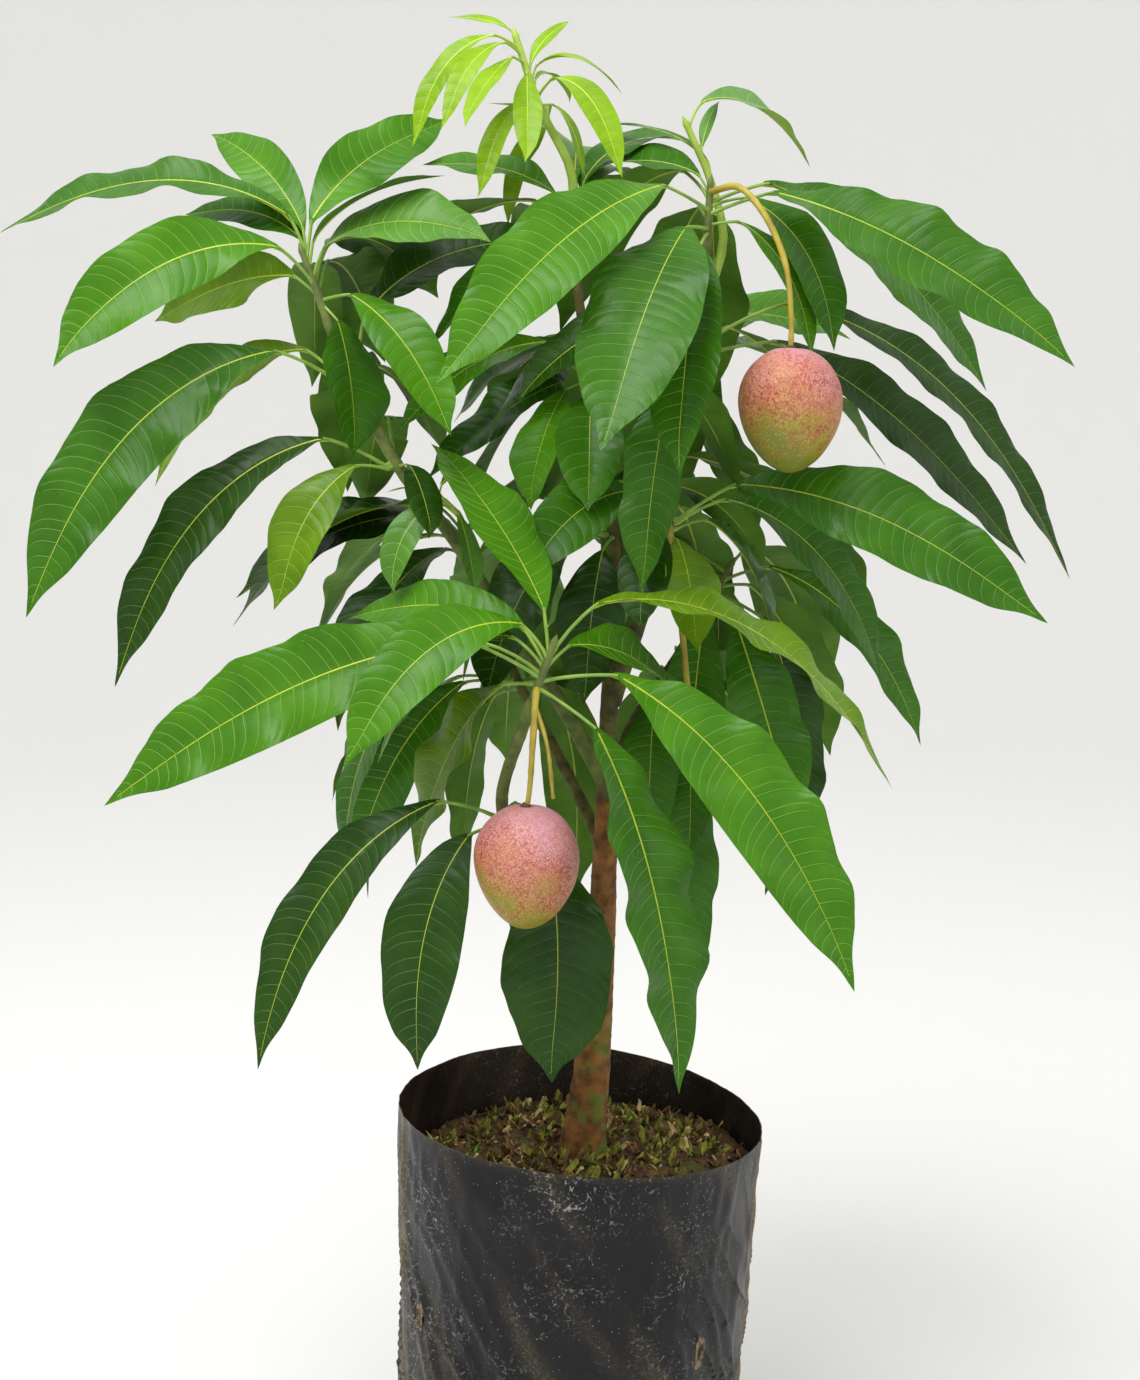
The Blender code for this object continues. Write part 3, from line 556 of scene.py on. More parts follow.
# %% Leaves that fill a whorl out
def filler_leaves(name, rule):
    """Leaves that fill a whorl out, spread over a range of headings by a seeded rule."""
    rng = random.Random(f"{SEED} {name}")
    leaves = []
    for i in range(rule.count if rule else 0):
        way = (i + rng.uniform(0.2, 0.8)) / rule.count
        length = rule.length * rng.uniform(0.75, 1.1)
        leaves.append(Leaf(rule.first + (rule.last - rule.first) * way,
                           rule.pitch + rng.uniform(-22, 22), rng.uniform(45, 95), length,
                           length * rng.uniform(0.22, 0.26), rng.uniform(-25, 25)))
    return leaves


def whorl_leaves(name):
    """All the leaves that a whorl would have, the posed ones first."""
    whorl = WHORLS[name]
    return [Leaf(*values) for values in whorl.leaves] + filler_leaves(name, whorl.fill)


print("leaves asked for:", sum(len(whorl_leaves(name)) for name in WHORLS))


# %% Stems, collars and the places where leaves start
LEAFY_SHARE = 0.55
LEAFLESS_TIP = 0.2


def stem_line(name):
    """The stem of a whorl that has one: straight on from its limb, or along its own route."""
    whorl = WHORLS[name]
    centre, run, radius = along(whorl.limb, whorl.share)
    if name not in STEM_ROUTES:
        reach = STEM_START + ROOT_STEP * len(whorl_leaves(name)) + STEM_SPARE
        return [centre + run * GAP, centre + run * (GAP + reach)]
    route = [Vector(p) for p in STEM_ROUTES[name]]
    out = run
    start = centre + run * GAP
    if whorl.share < 1.0:
        out = route[0] - centre
        out = (out - run * out.dot(run)).normalized()
        start = centre + out * (radius + GAP)
    return smooth_route([start, start + out * STALK_LEAD] + route, STEM_STEP)


def round_limb(name, heading, slide):
    """A place inside the wall of a whorl's collar, on the side that a heading points to."""
    whorl = WHORLS[name]
    centre, run, _ = along(whorl.limb, whorl.share)
    turn = math.radians(heading)
    out = Vector((math.cos(turn), math.sin(turn), 0))
    out = (out - run * out.dot(run)).normalized()
    return centre + run * slide + out * (collar_reach(name) + COLLAR_WALL * ROOT_DEPTH)


def whorl_roots(name):
    """Each leaf of a whorl with the place where it starts, the steepest ones highest."""
    leaves = whorl_leaves(name)
    order = sorted(range(len(leaves)), key=lambda i: leaf_rise(leaves[i]))
    line = stem_line(name)
    centre, run, _ = along(WHORLS[name].limb, WHORLS[name].share)
    rooted = []
    for rank, i in enumerate(order):
        if name in STEM_ROUTES:
            spot = (len(line) - 1) * (1 - LEAFY_SHARE * i / len(leaves)) - LEAFLESS_TIP
            root = line[int(spot)].lerp(line[int(spot) + 1], spot % 1)
        elif WHORLS[name].share == 1.0:
            root = centre + run * (STEM_START + ROOT_STEP * rank)
        else:
            slide = ROOT_STEP * (rank - (len(leaves) - 1) / 2)
            root = round_limb(name, leaves[i].heading, slide)
        rooted.append((i, root, leaves[i]))
    return sorted(rooted, key=lambda entry: entry[0])


def collar_height(name):
    """How long a stretch of its limb a collar covers."""
    return ROOT_STEP * len(whorl_leaves(name)) + 2 * STEM_SPARE


def collar_reach(name):
    """The inner radius of a collar, which clears its limb all along."""
    whorl = WHORLS[name]
    centre, run, _ = along(whorl.limb, whorl.share)
    reach = 0.0
    for i in range(-20, 21):
        place, _, radius = along(whorl.limb, min(1.0, max(0.0, whorl.share + 0.005 * i)))
        offset = place - centre
        ahead = offset.dot(run)
        if abs(ahead) < collar_height(name) / 2 + STEM_SPARE:
            reach = max(reach, radius + (offset - run * ahead).length)
    return (reach + GAP) / math.cos(math.pi / COLLAR_SIDES)


print("the widest collar reaches", round(1000 * max(
    collar_reach(n) for n, w in WHORLS.items() if w.share < 1.0), 1), "mm from its limb's middle")

# %% Find every leaf again in its solid
SAME_PLACE = 0.0005


def grown_leaves(name):
    """The leaves that a whorl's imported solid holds, as (number, root, leaf)."""
    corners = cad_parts[name].data.vertices
    tree = KDTree(len(corners))
    for i, corner in enumerate(corners):
        tree.insert(corner.co, i)
    tree.balance()
    grown = []
    for number, root, leaf in whorl_roots(name):
        tries = []
        for heading, pitch, roll in TURNS:
            turned = leaf._replace(heading=leaf.heading + heading, pitch=leaf.pitch + pitch,
                                   roll=leaf.roll + roll)
            points = [p for ring in leaf_rings(root, turned)[-3:-1] for p in ring]
            points.append(leaf_frames(root, turned, [1.0])[0][0])
            tries.append((sum(tree.find(p)[2] for p in points) / len(points), turned))
        away, turned = min(tries, key=lambda entry: entry[0])
        if away < SAME_PLACE:
            grown.append((number, root, turned))
    return grown


GROWN = {name: grown_leaves(name) for name in WHORLS}
print("leaves found in the solids:", sum(len(grown) for grown in GROWN.values()))

# %% [markdown]
# ## Patterns that several finishes share
#
# Nothing alive is one flat colour. Two small node groups do most of that work. "mottle"
# drifts between two colours in soft clouds, and "grain" makes fine height for a Bump node.
# Both read Object coordinates, so the pattern stays put on the piece.

# %% Helpers for patterns
def shader_group(name, inputs, outputs):
    """An empty shader group with named inputs and outputs."""
    tree = bpy.data.node_groups.new(name, "ShaderNodeTree")
    for label, kind, value in inputs:
        made = tree.interface.new_socket(name=label, in_out="INPUT", socket_type=kind)
        made.default_value = value
    for label, kind in outputs:
        tree.interface.new_socket(name=label, in_out="OUTPUT", socket_type=kind)
    return tree, tree.nodes.new("NodeGroupInput").outputs, tree.nodes.new("NodeGroupOutput").inputs


def mix(tree, share, first, second):
    """Mix two colours by a share."""
    return add(tree, "ShaderNodeMix", {0: share, 6: first, 7: second}, out=2, data_type="RGBA")


def clamp_to(tree, value, low, high):
    """A value stretched so that low becomes 0 and high becomes 1."""
    return add(tree, "ShaderNodeMapRange", {0: value, 1: low, 2: high}, out=0)


def line_where_half(tree, value, wide, narrow):
    """A mask along the line where a value is a half: full within narrow, none past wide."""
    away = sums(tree, "ABSOLUTE", sums(tree, "SUBTRACT", value, 0.5))
    return clamp_to(tree, away, wide, narrow)


print("node groups before the shared ones:", len(bpy.data.node_groups))

# %% The two shared groups
mottle, given, made = shader_group(
    "mottle", [("Low", "NodeSocketColor", (0, 0, 0, 1)), ("High", "NodeSocketColor", (1, 1, 1, 1)),
               ("Scale", "NodeSocketFloat", 30.0), ("Detail", "NodeSocketFloat", 3.0)],
    [("Colour", "NodeSocketColor"), ("Mask", "NodeSocketFloat")])
place = add(mottle, "ShaderNodeTexCoord", out="Object")
cloud = noise_at(mottle, place, given["Scale"], given["Detail"])
mask = clamp_to(mottle, cloud, 0.34, 0.66)
mottle.links.new(mix(mottle, mask, given["Low"], given["High"]), made["Colour"])
mottle.links.new(mask, made["Mask"])

grain, given, made = shader_group(
    "grain", [("Coarse", "NodeSocketFloat", 60.0), ("Fine", "NodeSocketFloat", 400.0),
              ("Share", "NodeSocketFloat", 0.4)], [("Height", "NodeSocketFloat")])
place = add(grain, "ShaderNodeTexCoord", out="Object")
coarse = noise_at(grain, place, given["Coarse"], 4.0)
fine = noise_at(grain, place, given["Fine"], 2.0)
height = sums(grain, "MULTIPLY_ADD", fine, given["Share"], coarse)
grain.links.new(height, made["Height"])
print("groups:", ", ".join(g.name for g in bpy.data.node_groups))


# %% The groups in a material
def use(tree, group, out, inputs):
    """Place a shared group in a material."""
    return add(tree, "ShaderNodeGroup", inputs, out=out, node_tree=group)


def bump(tree, height, strength, depth):
    """A Bump node on a height."""
    return add(tree, "ShaderNodeBump", {"Strength": strength, "Distance": depth,
                                        "Height": height}, out=0)


def clouds(tree, low, high, scale, detail=3.0):
    """Soft clouds of two colours."""
    return use(tree, mottle, "Colour", {"Low": paint(low), "High": paint(high),
                                        "Scale": scale, "Detail": detail})


def grained(tree, sockets, sizes, strength, depth):
    """Fine relief on the shader's normal. The sizes are the grain's coarse, fine and share."""
    relief = use(tree, grain, "Height", dict(zip(("Coarse", "Fine", "Share"), sizes)))
    tree.links.new(bump(tree, relief, strength, depth), sockets["Normal"])


print("mottle has", len(mottle.nodes), "nodes and grain has", len(grain.nodes))

# %% [markdown]
# ## Leaf finishes
#
# A mango leaf is leathery and waxed: deep green and glossy above, duller and yellower
# below, with a pale yellow-green rib. Young leaves are a bright yellow-green. The tone is
# dealt out by whole leaves, each a plain base colour of its own, and clouds of a slightly
# lighter green keep it alive. Between the side veins the blade swells a little, so the
# light breaks into bands. A wave along each blade's own "ripple" attribute gives that.

# %% Leaf, rib, vein and stalk materials
# Each tone: the two greens of the blade, and the green of its side veins. Bright is partly
# painted light on leaves where light falls, and deep is partly painted shade on shaded leaves.
TONES = {
    "deep": ("1c3c05", "284a07", "49702a"), "mid": ("2c5c08", "396c0c", "678f3c"),
    "bright": ("3a7008", "48800c", "7ca43e"), "pale": ("4a7c26", "5c8c34", "8fb062"),
    "lime": ("4f7408", "64890c", "8fab38"), "flush": ("6c9404", "83ab0a", "a2c030"),
}


def blade_finish(name, low, high, rough, swell):
    """A waxed blade: clouds of two greens, swelling bands between its veins."""
    made, tree, sockets = finish(name, Roughness=rough, Specular_IOR_Level=0.2)
    tree.links.new(clouds(tree, low, high, 26.0), sockets["Base Color"])
    ripple = add(tree, "ShaderNodeAttribute", out="Fac", attribute_name="ripple")
    band = sums(tree, "ABSOLUTE", sums(tree, "SINE", sums(tree, "MULTIPLY", ripple, math.pi)))
    relief = use(tree, grain, "Height", {"Coarse": 90.0, "Fine": 900.0, "Share": 0.2})
    height = sums(tree, "MULTIPLY_ADD", band, swell, relief)
    tree.links.new(bump(tree, height, 0.7, 0.0006), sockets["Normal"])
    streak = use(tree, mottle, "Mask", {"Scale": 60.0})
    tree.links.new(sums(tree, "MULTIPLY_ADD", streak, 0.14, rough - 0.07), sockets["Roughness"])
    return made


def line_finish(name, low, high, rough=0.5):
    """A rib, vein or stalk: one colour, or two close ones in short clouds."""
    made, tree, sockets = finish(name, Roughness=rough, Base_Color=paint(low))
    if low != high:
        tree.links.new(clouds(tree, low, high, 70.0), sockets["Base Color"])
    grained(tree, sockets, (400.0, 1500.0, 0.5), 0.3, 0.0003)
    return made


TONE_NAMES = list(TONES)
blade_tops = [blade_finish(f"leaf_{n}", *TONES[n][:2], 0.33, 0.65) for n in TONE_NAMES]
blade_backs = [blade_finish("leaf_back", "4a731c", "5f8a28", 0.62, 0.5),
               blade_finish("leaf_back_young", "86ae1e", "9cc22c", 0.6, 0.5)]
vein_lines = [line_finish(f"vein_{n}", TONES[n][2], TONES[n][2]) for n in TONE_NAMES]
rib_lines = [line_finish("rib_mature", "a4b82c", "b8c93c"),
             line_finish("rib_young", "b4d034", "c6de4c")]
stalk_lines = [line_finish("stalk_green", "6f9434", "8cae40"),
               line_finish("stalk_brown", "54602c", "6c7a36"),
               line_finish("stalk_yellow", "94822a", "b5a43a"),
               line_finish("stalk_young", "8fae3a", "a9c44c")]
print("leaf tones:", ", ".join(TONE_NAMES))

# %% [markdown]
# ## A blade that grows along its midline
#
# Each leaf's midline becomes a row of points that carry what the blade needs there: where
# it is, which way is right and up, how wide it is, and how far its margins wave. One
# Geometry Nodes tree turns the row into a curve, sweeps a flat profile along it, and puts
# every corner where those values say. The same sheet turned over and let down by a
# fraction of a millimetre makes the underside, thinned to nothing at the margin.

# %% Geometry Nodes helpers
def geometry_tree(name, inputs):
    """A Geometry Nodes tree with geometry in and out and more named inputs."""
    tree = bpy.data.node_groups.new(name, "GeometryNodeTree")
    tree.interface.new_socket(name="Geometry", in_out="INPUT", socket_type="NodeSocketGeometry")
    for label, kind, value in inputs:
        made = tree.interface.new_socket(name=label, in_out="INPUT", socket_type=kind)
        if value is not None:
            made.default_value = value
    tree.interface.new_socket(name="Geometry", in_out="OUTPUT", socket_type="NodeSocketGeometry")
    return tree, tree.nodes.new("NodeGroupInput").outputs, tree.nodes.new("NodeGroupOutput").inputs


def carried(tree, name, kind="FLOAT"):
    """A value that the points carry under a name."""
    return add(tree, "GeometryNodeInputNamedAttribute", {"Name": name}, out="Attribute",
               data_type=kind)


def stored(tree, geometry, name, value, kind="FLOAT", domain="POINT"):
    """Store a value on the geometry under a name."""
    return add(tree, "GeometryNodeStoreNamedAttribute",
               {"Geometry": geometry, "Name": name, "Value": value}, out=0,
               data_type=kind, domain=domain)


def painted(tree, geometry, attribute, materials):
    """Give each stretch the material whose number it carries, and end the tree's look."""
    for number, material in enumerate(materials):
        chosen = add(tree, "FunctionNodeCompare", {"A": carried(tree, attribute, "INT"),
                                                   "B": number}, out=0,
                     data_type="INT", operation="EQUAL")
        geometry = add(tree, "GeometryNodeSetMaterial",
                       {"Geometry": geometry, "Selection": chosen, "Material": material}, out=0)
    return geometry


def swept_round(tree, rows, sides):
    """A circle swept along rows of points, as thick as each point says."""
    lines = add(tree, "GeometryNodeMeshToCurve", {"Mesh": rows}, out=0)
    ring = add(tree, "GeometryNodeCurvePrimitiveCircle", {0: sides, "Radius": 1.0}, out=0)
    return add(tree, "GeometryNodeCurveToMesh", {
        "Curve": lines, "Profile Curve": ring, "Scale": carried(tree, "thick"),
        "Fill Caps": True}, out=0)


def smooth(tree, geometry):
    """Smooth shading on all faces."""
    return add(tree, "GeometryNodeSetShadeSmooth", {"Geometry": geometry}, out=0)


def realized(tree, geometry):
    """Every instance as mesh of its own, which the export needs."""
    return add(tree, "GeometryNodeRealizeInstances", {"Geometry": geometry}, out=0)


def moved(tree, geometry, **where):
    """The geometry with its points set to a Position or moved by an Offset."""
    return add(tree, "GeometryNodeSetPosition", {"Geometry": geometry, **where}, out=0)


print("node groups so far:", len(bpy.data.node_groups))


# %% Rows of points, and a tree run on them
def guide(name, rows):
    """A mesh of separate rows of points, each point a dict of its place and its values."""
    mesh = bpy.data.meshes.new(name)
    points = [point for row in rows for point in row]
    links = []
    start = 0
    for row in rows:
        links += [(i, i + 1) for i in range(start, start + len(row) - 1)]
        start += len(row)
    mesh.from_pydata([point["place"] for point in points], links, [])
    for label, value in points[0].items():
        if label == "place":
            continue
        kind = "FLOAT_VECTOR" if isinstance(value, Vector) else (
            "INT" if isinstance(value, int) else "FLOAT")
        layer = mesh.attributes.new(label, kind, "POINT")
        if kind == "FLOAT_VECTOR":
            layer.data.foreach_set("vector", [c for point in points for c in point[label]])
        else:
            layer.data.foreach_set("value", [point[label] for point in points])
    return shown(name, mesh)


def baked(obj, sharp=None):
    """Keep what an object's modifiers make as its own plain mesh."""
    graph = bpy.context.evaluated_depsgraph_get()
    mesh = bpy.data.meshes.new_from_object(obj.evaluated_get(graph),
                                           preserve_all_data_layers=True, depsgraph=graph)
    obj.modifiers.clear()
    obj.data = mesh
    if sharp is not None:
        mesh.set_sharp_from_angle(angle=math.radians(sharp))
    return obj


def grown_from(obj, tree, values=None, sharp=None):
    """Run a tree on an object and keep its result."""
    run = obj.modifiers.new("grow", "NODES")
    run.node_group = tree
    for item in tree.interface.items_tree:
        if item.in_out == "INPUT" and values and item.name in values:
            run[item.identifier] = values[item.name]
    return baked(obj, sharp)


# %% The tree that makes blades: every corner of the sheet
ACROSS = 11
BLADE_THICKNESS = 0.0004
MARGIN_SPREAD = 7.0
VEIN_LEAN = 0.26
VEIN_HOOK = 0.34

blades, given, made = geometry_tree("leaf blades", [
    ("Points across", "NodeSocketInt", ACROSS), ("Fold", "NodeSocketFloat", LEAF_FOLD)])
midlines = add(blades, "GeometryNodeMeshToCurve", {"Mesh": given["Geometry"]}, out=0)
flat = add(blades, "GeometryNodeCurvePrimitiveLine", {"Start": (-1, 0, 0), "End": (1, 0, 0)},
           out=0)
flat = add(blades, "GeometryNodeResampleCurve", {"Curve": flat, "Count": given["Points across"]},
           out=0)
spot = add(blades, "GeometryNodeInputPosition", out=0)
spread = add(blades, "ShaderNodeSeparateXYZ", {0: spot}, out=0)
flat = stored(blades, flat, "across", spread)
sheet = add(blades, "GeometryNodeCurveToMesh", {"Curve": midlines, "Profile Curve": flat}, out=0)
across = carried(blades, "across")
away = sums(blades, "ABSOLUTE", across)
half = carried(blades, "half")
arch = sums(blades, "MULTIPLY", away, sums(blades, "SUBTRACT", 1.3, sums(
    blades, "MULTIPLY", 0.3, sums(blades, "MULTIPLY", away, away))))
slope = sums(blades, "TANGENT", sums(blades, "RADIANS", given["Fold"]))
fold = sums(blades, "MULTIPLY", sums(blades, "MULTIPLY", arch, slope), half)
right = sums(blades, "GREATER_THAN", across, 0.0)
wave = sums(blades, "ADD", sums(blades, "MULTIPLY", right, carried(blades, "wave_right")),
            sums(blades, "MULTIPLY", sums(blades, "SUBTRACT", 1.0, right),
                 carried(blades, "wave_left")))
lift = sums(blades, "MULTIPLY_ADD", wave, sums(blades, "MULTIPLY", away, away), fold)
spread = sums(blades, "MULTIPLY", across, sums(blades, "MULTIPLY_ADD", wave, MARGIN_SPREAD, 1.0))
corner = vectors(blades, "ADD", carried(blades, "centre", "FLOAT_VECTOR"), vectors(
    blades, "SCALE", carried(blades, "side", "FLOAT_VECTOR"),
    sums(blades, "MULTIPLY", half, spread)))
corner = vectors(blades, "ADD", corner, vectors(
    blades, "SCALE", carried(blades, "up", "FLOAT_VECTOR"), lift))
sheet = moved(blades, sheet, Position=corner)
swept = sums(blades, "MULTIPLY", away, sums(blades, "MULTIPLY_ADD", sums(
    blades, "POWER", away, 3.0), VEIN_HOOK, VEIN_LEAN))
sheet = stored(blades, sheet, "ripple", sums(blades, "SUBTRACT", carried(blades, "ripple"), sums(
    blades, "MULTIPLY", swept, carried(blades, "lean"))))
print("blade tree, sheet:", len(blades.nodes), "nodes")

# %% The tree that makes blades: its upper side and its underside
MERGE_WITHIN = 0.00001

shift = sums(blades, "MULTIPLY_ADD", carried(blades, "number"), 4.0, across)
top = stored(blades, sheet, "UVMap", add(blades, "ShaderNodeCombineXYZ", {
    0: shift, 1: carried(blades, "along")}, out=0), "FLOAT2", "CORNER")
top = painted(blades, top, "tone", blade_tops)
drop = sums(blades, "MULTIPLY", carried(blades, "thick"), sums(
    blades, "SUBTRACT", 1.0, sums(blades, "POWER", away, 4.0)))
under = moved(blades, sheet, Offset=vectors(
    blades, "SCALE", carried(blades, "up", "FLOAT_VECTOR"),
    sums(blades, "MULTIPLY", drop, -1.0)))
under = add(blades, "GeometryNodeFlipFaces", {"Mesh": under}, out=0)
under = stored(blades, under, "UVMap", add(blades, "ShaderNodeCombineXYZ", {
    0: sums(blades, "ADD", shift, 2.0), 1: carried(blades, "along")}, out=0), "FLOAT2", "CORNER")
under = painted(blades, under, "young", blade_backs)
both = add(blades, "GeometryNodeJoinGeometry", out=0)
blades.links.new(top, both.node.inputs[0])
blades.links.new(under, both.node.inputs[0])
closed = add(blades, "GeometryNodeMergeByDistance", {"Geometry": both, "Distance": MERGE_WITHIN},
             out=0)
blades.links.new(realized(blades, smooth(blades, closed)), made["Geometry"])
print("blade tree, both sides:", len(blades.nodes), "nodes")

# %% [markdown]
# ## Ribs and veins that lie on the blade
#
# The side veins are drawn flat, in the blade's own UV plane: each leaves the midrib nearly
# square and bends towards the tip. A second tree looks up where each point of that drawing
# falls on the finished blade and sweeps a fine three-sided ridge along it. Lines of real
# geometry stay crisp from any distance, and they show on the underside too.

# %% The tree that lays veins on blades
veins, given, made = geometry_tree("leaf veins", [
    ("Blades", "NodeSocketObject", None), ("Sides", "NodeSocketInt", 3)])
blade_mesh = add(veins, "GeometryNodeObjectInfo", {"Object": given["Blades"]}, out="Geometry")
spot = add(veins, "GeometryNodeInputPosition", out=0)
found = {}
for what, value in (("place", add(veins, "GeometryNodeInputPosition", out=0)),
                    ("up", add(veins, "GeometryNodeInputNormal", out=0))):
    found[what] = add(veins, "GeometryNodeSampleUVSurface", {
        "Mesh": blade_mesh, "Value": value, 2: carried(veins, "UVMap", "FLOAT_VECTOR"),
        3: spot}, data_type="FLOAT_VECTOR")
off_blade = add(veins, "FunctionNodeBooleanMath", {0: found["place"].outputs[1]}, out=0,
                operation="NOT")
kept = add(veins, "GeometryNodeDeleteGeometry", {
    "Geometry": given["Geometry"], "Selection": off_blade}, out=0, domain="POINT")
sunk = vectors(veins, "SCALE", found["up"].outputs[0], sums(
    veins, "MULTIPLY", carried(veins, "thick"), carried(veins, "sink")))
laid = moved(veins, kept, Position=vectors(veins, "SUBTRACT", found["place"].outputs[0], sunk))
ridges = swept_round(veins, laid, given["Sides"])
ridges = smooth(veins, painted(veins, ridges, "paint", vein_lines + rib_lines))
whole = add(veins, "GeometryNodeJoinGeometry", out=0)
veins.links.new(ridges, whole.node.inputs[0])
veins.links.new(blade_mesh, whole.node.inputs[0])
veins.links.new(realized(veins, whole), made["Geometry"])
print("vein tree:", len(veins.nodes), "nodes")

# %% [markdown]
# ## Stalks, stems and bark
#
# Everything round follows one idea: a row of points with a radius, swept by a circle. The
# thin green stalks stop there. Trunk and boughs get many more points, and then every
# corner moves out or in with a noise that is drawn out along the limb, which is how bark
# cracks. Leaf scars ring the younger wood in shallow steps.

# %% The tree for stalks
stalks, given, made = geometry_tree("round stalks", [("Sides", "NodeSocketInt", 8)])
round_ones = swept_round(stalks, given["Geometry"], given["Sides"])
round_ones = smooth(stalks, painted(stalks, round_ones, "paint", stalk_lines))
stalks.links.new(realized(stalks, round_ones), made["Geometry"])
print("stalk tree:", len(stalks.nodes), "nodes")

# %% [markdown]
# ## Which green each leaf has
#
# On a real tree the tones go by age: the newest leaves are yellow-green. The tones also hold
# painted light and shade: the leaves at the top are dealt the bright tone, partly painted
# light, and those low down and at the back the deep one, partly painted shade. Each whorl has
# two tones that its leaves are dealt.
# The leaves that show most in the photograph have a tone of their own.

# %% The tone of each leaf
YOUNG = ("young_flush", "left_sprout", "right_sprout")
WHORL_TONES = {
    "left_crown": ["bright", "mid"], "left_middle": ["mid", "deep"],
    "left_lower": ["deep", "mid"], "front_crown": ["bright", "mid"],
    "front_lower": ["deep", "mid"], "right_crown": ["mid", "bright"],
    "right_middle": ["mid", "deep"], "right_lower": ["mid", "deep"],
    "right_back_crown": ["deep", "mid"], "right_back_lower": ["mid", "deep"],
    "left_back_crown": ["mid", "deep"], "left_back_lower": ["mid", "deep"],
    "back_crown": ["mid", "bright"], "back_middle": ["deep", "mid"],
    "leader_low": ["deep", "mid"], "leader_middle": ["mid", "bright"],
    "leader_high": ["bright", "mid"], "young_flush": ["flush", "flush"],
    "left_sprout": ["lime", "pale"], "right_sprout": ["pale", "mid"],
}
# A leaf's own tone is partly painted light: bright where light falls on it, deep as painted shade.
OWN_TONES = {
    "left_crown": {0: "mid", 1: "bright", 2: "bright", 3: "bright", 4: "pale", 5: "lime",
                   6: "mid", 8: "mid", 9: "mid"},
    "left_middle": {0: "mid", 1: "lime", 2: "deep"}, "left_lower": {0: "deep", 1: "lime"},
    "front_crown": {0: "bright", 1: "bright", 2: "bright", 3: "lime", 4: "bright", 5: "mid",
                    6: "bright", 7: "mid", 10: "lime"},
    "front_lower": {0: "deep", 1: "deep", 2: "deep"},
    "right_crown": {0: "mid", 1: "mid", 2: "bright", 3: "mid", 4: "mid"},
    "right_middle": {0: "deep", 1: "deep"}, "right_lower": {0: "mid", 2: "lime"},
    "leader_middle": {0: "bright"}, "leader_high": {0: "bright"},
}
FIRST_TONE_SHARE = 0.6


def tone_of(name, number):
    """The tone of one leaf: its own, or one of its whorl's two by turns."""
    dealt = random.Random(f"{SEED} tone {name} {number}").random()
    tone = WHORL_TONES[name][0 if dealt < FIRST_TONE_SHARE else 1]
    return TONE_NAMES.index(OWN_TONES.get(name, {}).get(number, tone))


print("leaves with a tone of their own:", sum(len(own) for own in OWN_TONES.values()))

# %% [markdown]
# ## What a leaf's midline carries
#
# A mango leaf's margins wave, each side in its own rhythm, and its tip narrows to a slightly
# hooked point. Those are numbers on the midline's points, so the tree above can stay the
# same for all leaves. The veins are rows of points too, drawn in the blade's UV plane.

# %% The midline of a blade
VEIN_SPACING = 0.0092
ROW_SPACING = 0.0045
WAVE_LENGTH = 0.068
WAVE_HEIGHT = 0.0052
WAVE_SHARE = 0.075
RIPPLE_LENGTH = 0.027
RIPPLE_SHARE = 0.24
TIP_START = 0.84
TIP_END = 0.96
TIP_PINCH = 0.42
TIP_HOOK = 0.004
HOOK_START = 0.8
NEAR_END = 0.98
FULL_THICKNESS_FROM = 0.004


def blade_row(name, number, root, leaf):
    """The points along one blade's midline."""
    rng = random.Random(f"{SEED} wave {name} {number}")
    blade = leaf.length / 1000 * (1 - PETIOLE_SHARE)
    count = max(14, round(blade / ROW_SPACING))
    veins_here = int(blade / VEIN_SPACING)
    height = min(WAVE_HEIGHT, leaf.width / 1000 * WAVE_SHARE) * rng.uniform(0.55, 1.15)
    waves = [(blade / WAVE_LENGTH * rng.uniform(0.8, 1.2), rng.uniform(0, 2 * math.pi),
              blade / RIPPLE_LENGTH * rng.uniform(0.8, 1.2), rng.uniform(0, 2 * math.pi))
             for _ in "lr"]
    hook = rng.uniform(-1, 1) * TIP_HOOK
    shares = [k / count for k in range(count + 1)]
    places = leaf_frames(root, leaf, [PETIOLE_SHARE + (1 - PETIOLE_SHARE) * u for u in shares])
    row = []
    for u, (centre, side, up) in zip(shares, places):
        near_tip = min(1.0, max(0.0, (u - TIP_START) / (TIP_END - TIP_START)))
        half = leaf.width / 2000 * blade_width(u) if u > 0 else 0.0
        half *= 1 - TIP_PINCH * near_tip ** 2 * (3 - 2 * near_tip)
        half = max(half, PETIOLE_RADIUS * (1 - u))
        centre = centre + side * (hook * max(0.0, (u - HOOK_START) / 0.2) ** 2)
        calm = height * math.sin(math.pi * min(1.0, u * 1.02)) ** 0.7 if u < NEAR_END else 0.0
        left, right = (calm * (math.sin(2 * math.pi * n * u + p)
                               + RIPPLE_SHARE * math.sin(2 * math.pi * m * u + q))
                       for n, p, m, q in waves)
        row.append({
            "place": centre, "centre": centre, "side": side, "up": up, "half": half,
            "along": u, "number": float(number), "tone": tone_of(name, number),
            "young": int(name in YOUNG), "ripple": u * veins_here - 0.25,
            "lean": leaf.width / 2000 * blade_width(min(u, NEAR_END)) / blade * veins_here,
            "wave_left": left, "wave_right": right,
            "thick": BLADE_THICKNESS * min(1.0, half / FULL_THICKNESS_FROM) * min(1.0, 40 * u),
        })
    return row


print("points along one blade:", len(blade_row("left_crown", *GROWN["left_crown"][0])))


# %% The drawing of its veins
VEIN_RADIUS = 0.00036
RIB_RADIUS = 0.00135
RIB_STEPS = 24
RIB_ENDS = (0.004, 0.985)
VEIN_STEPS = 7
VEIN_END = 0.97


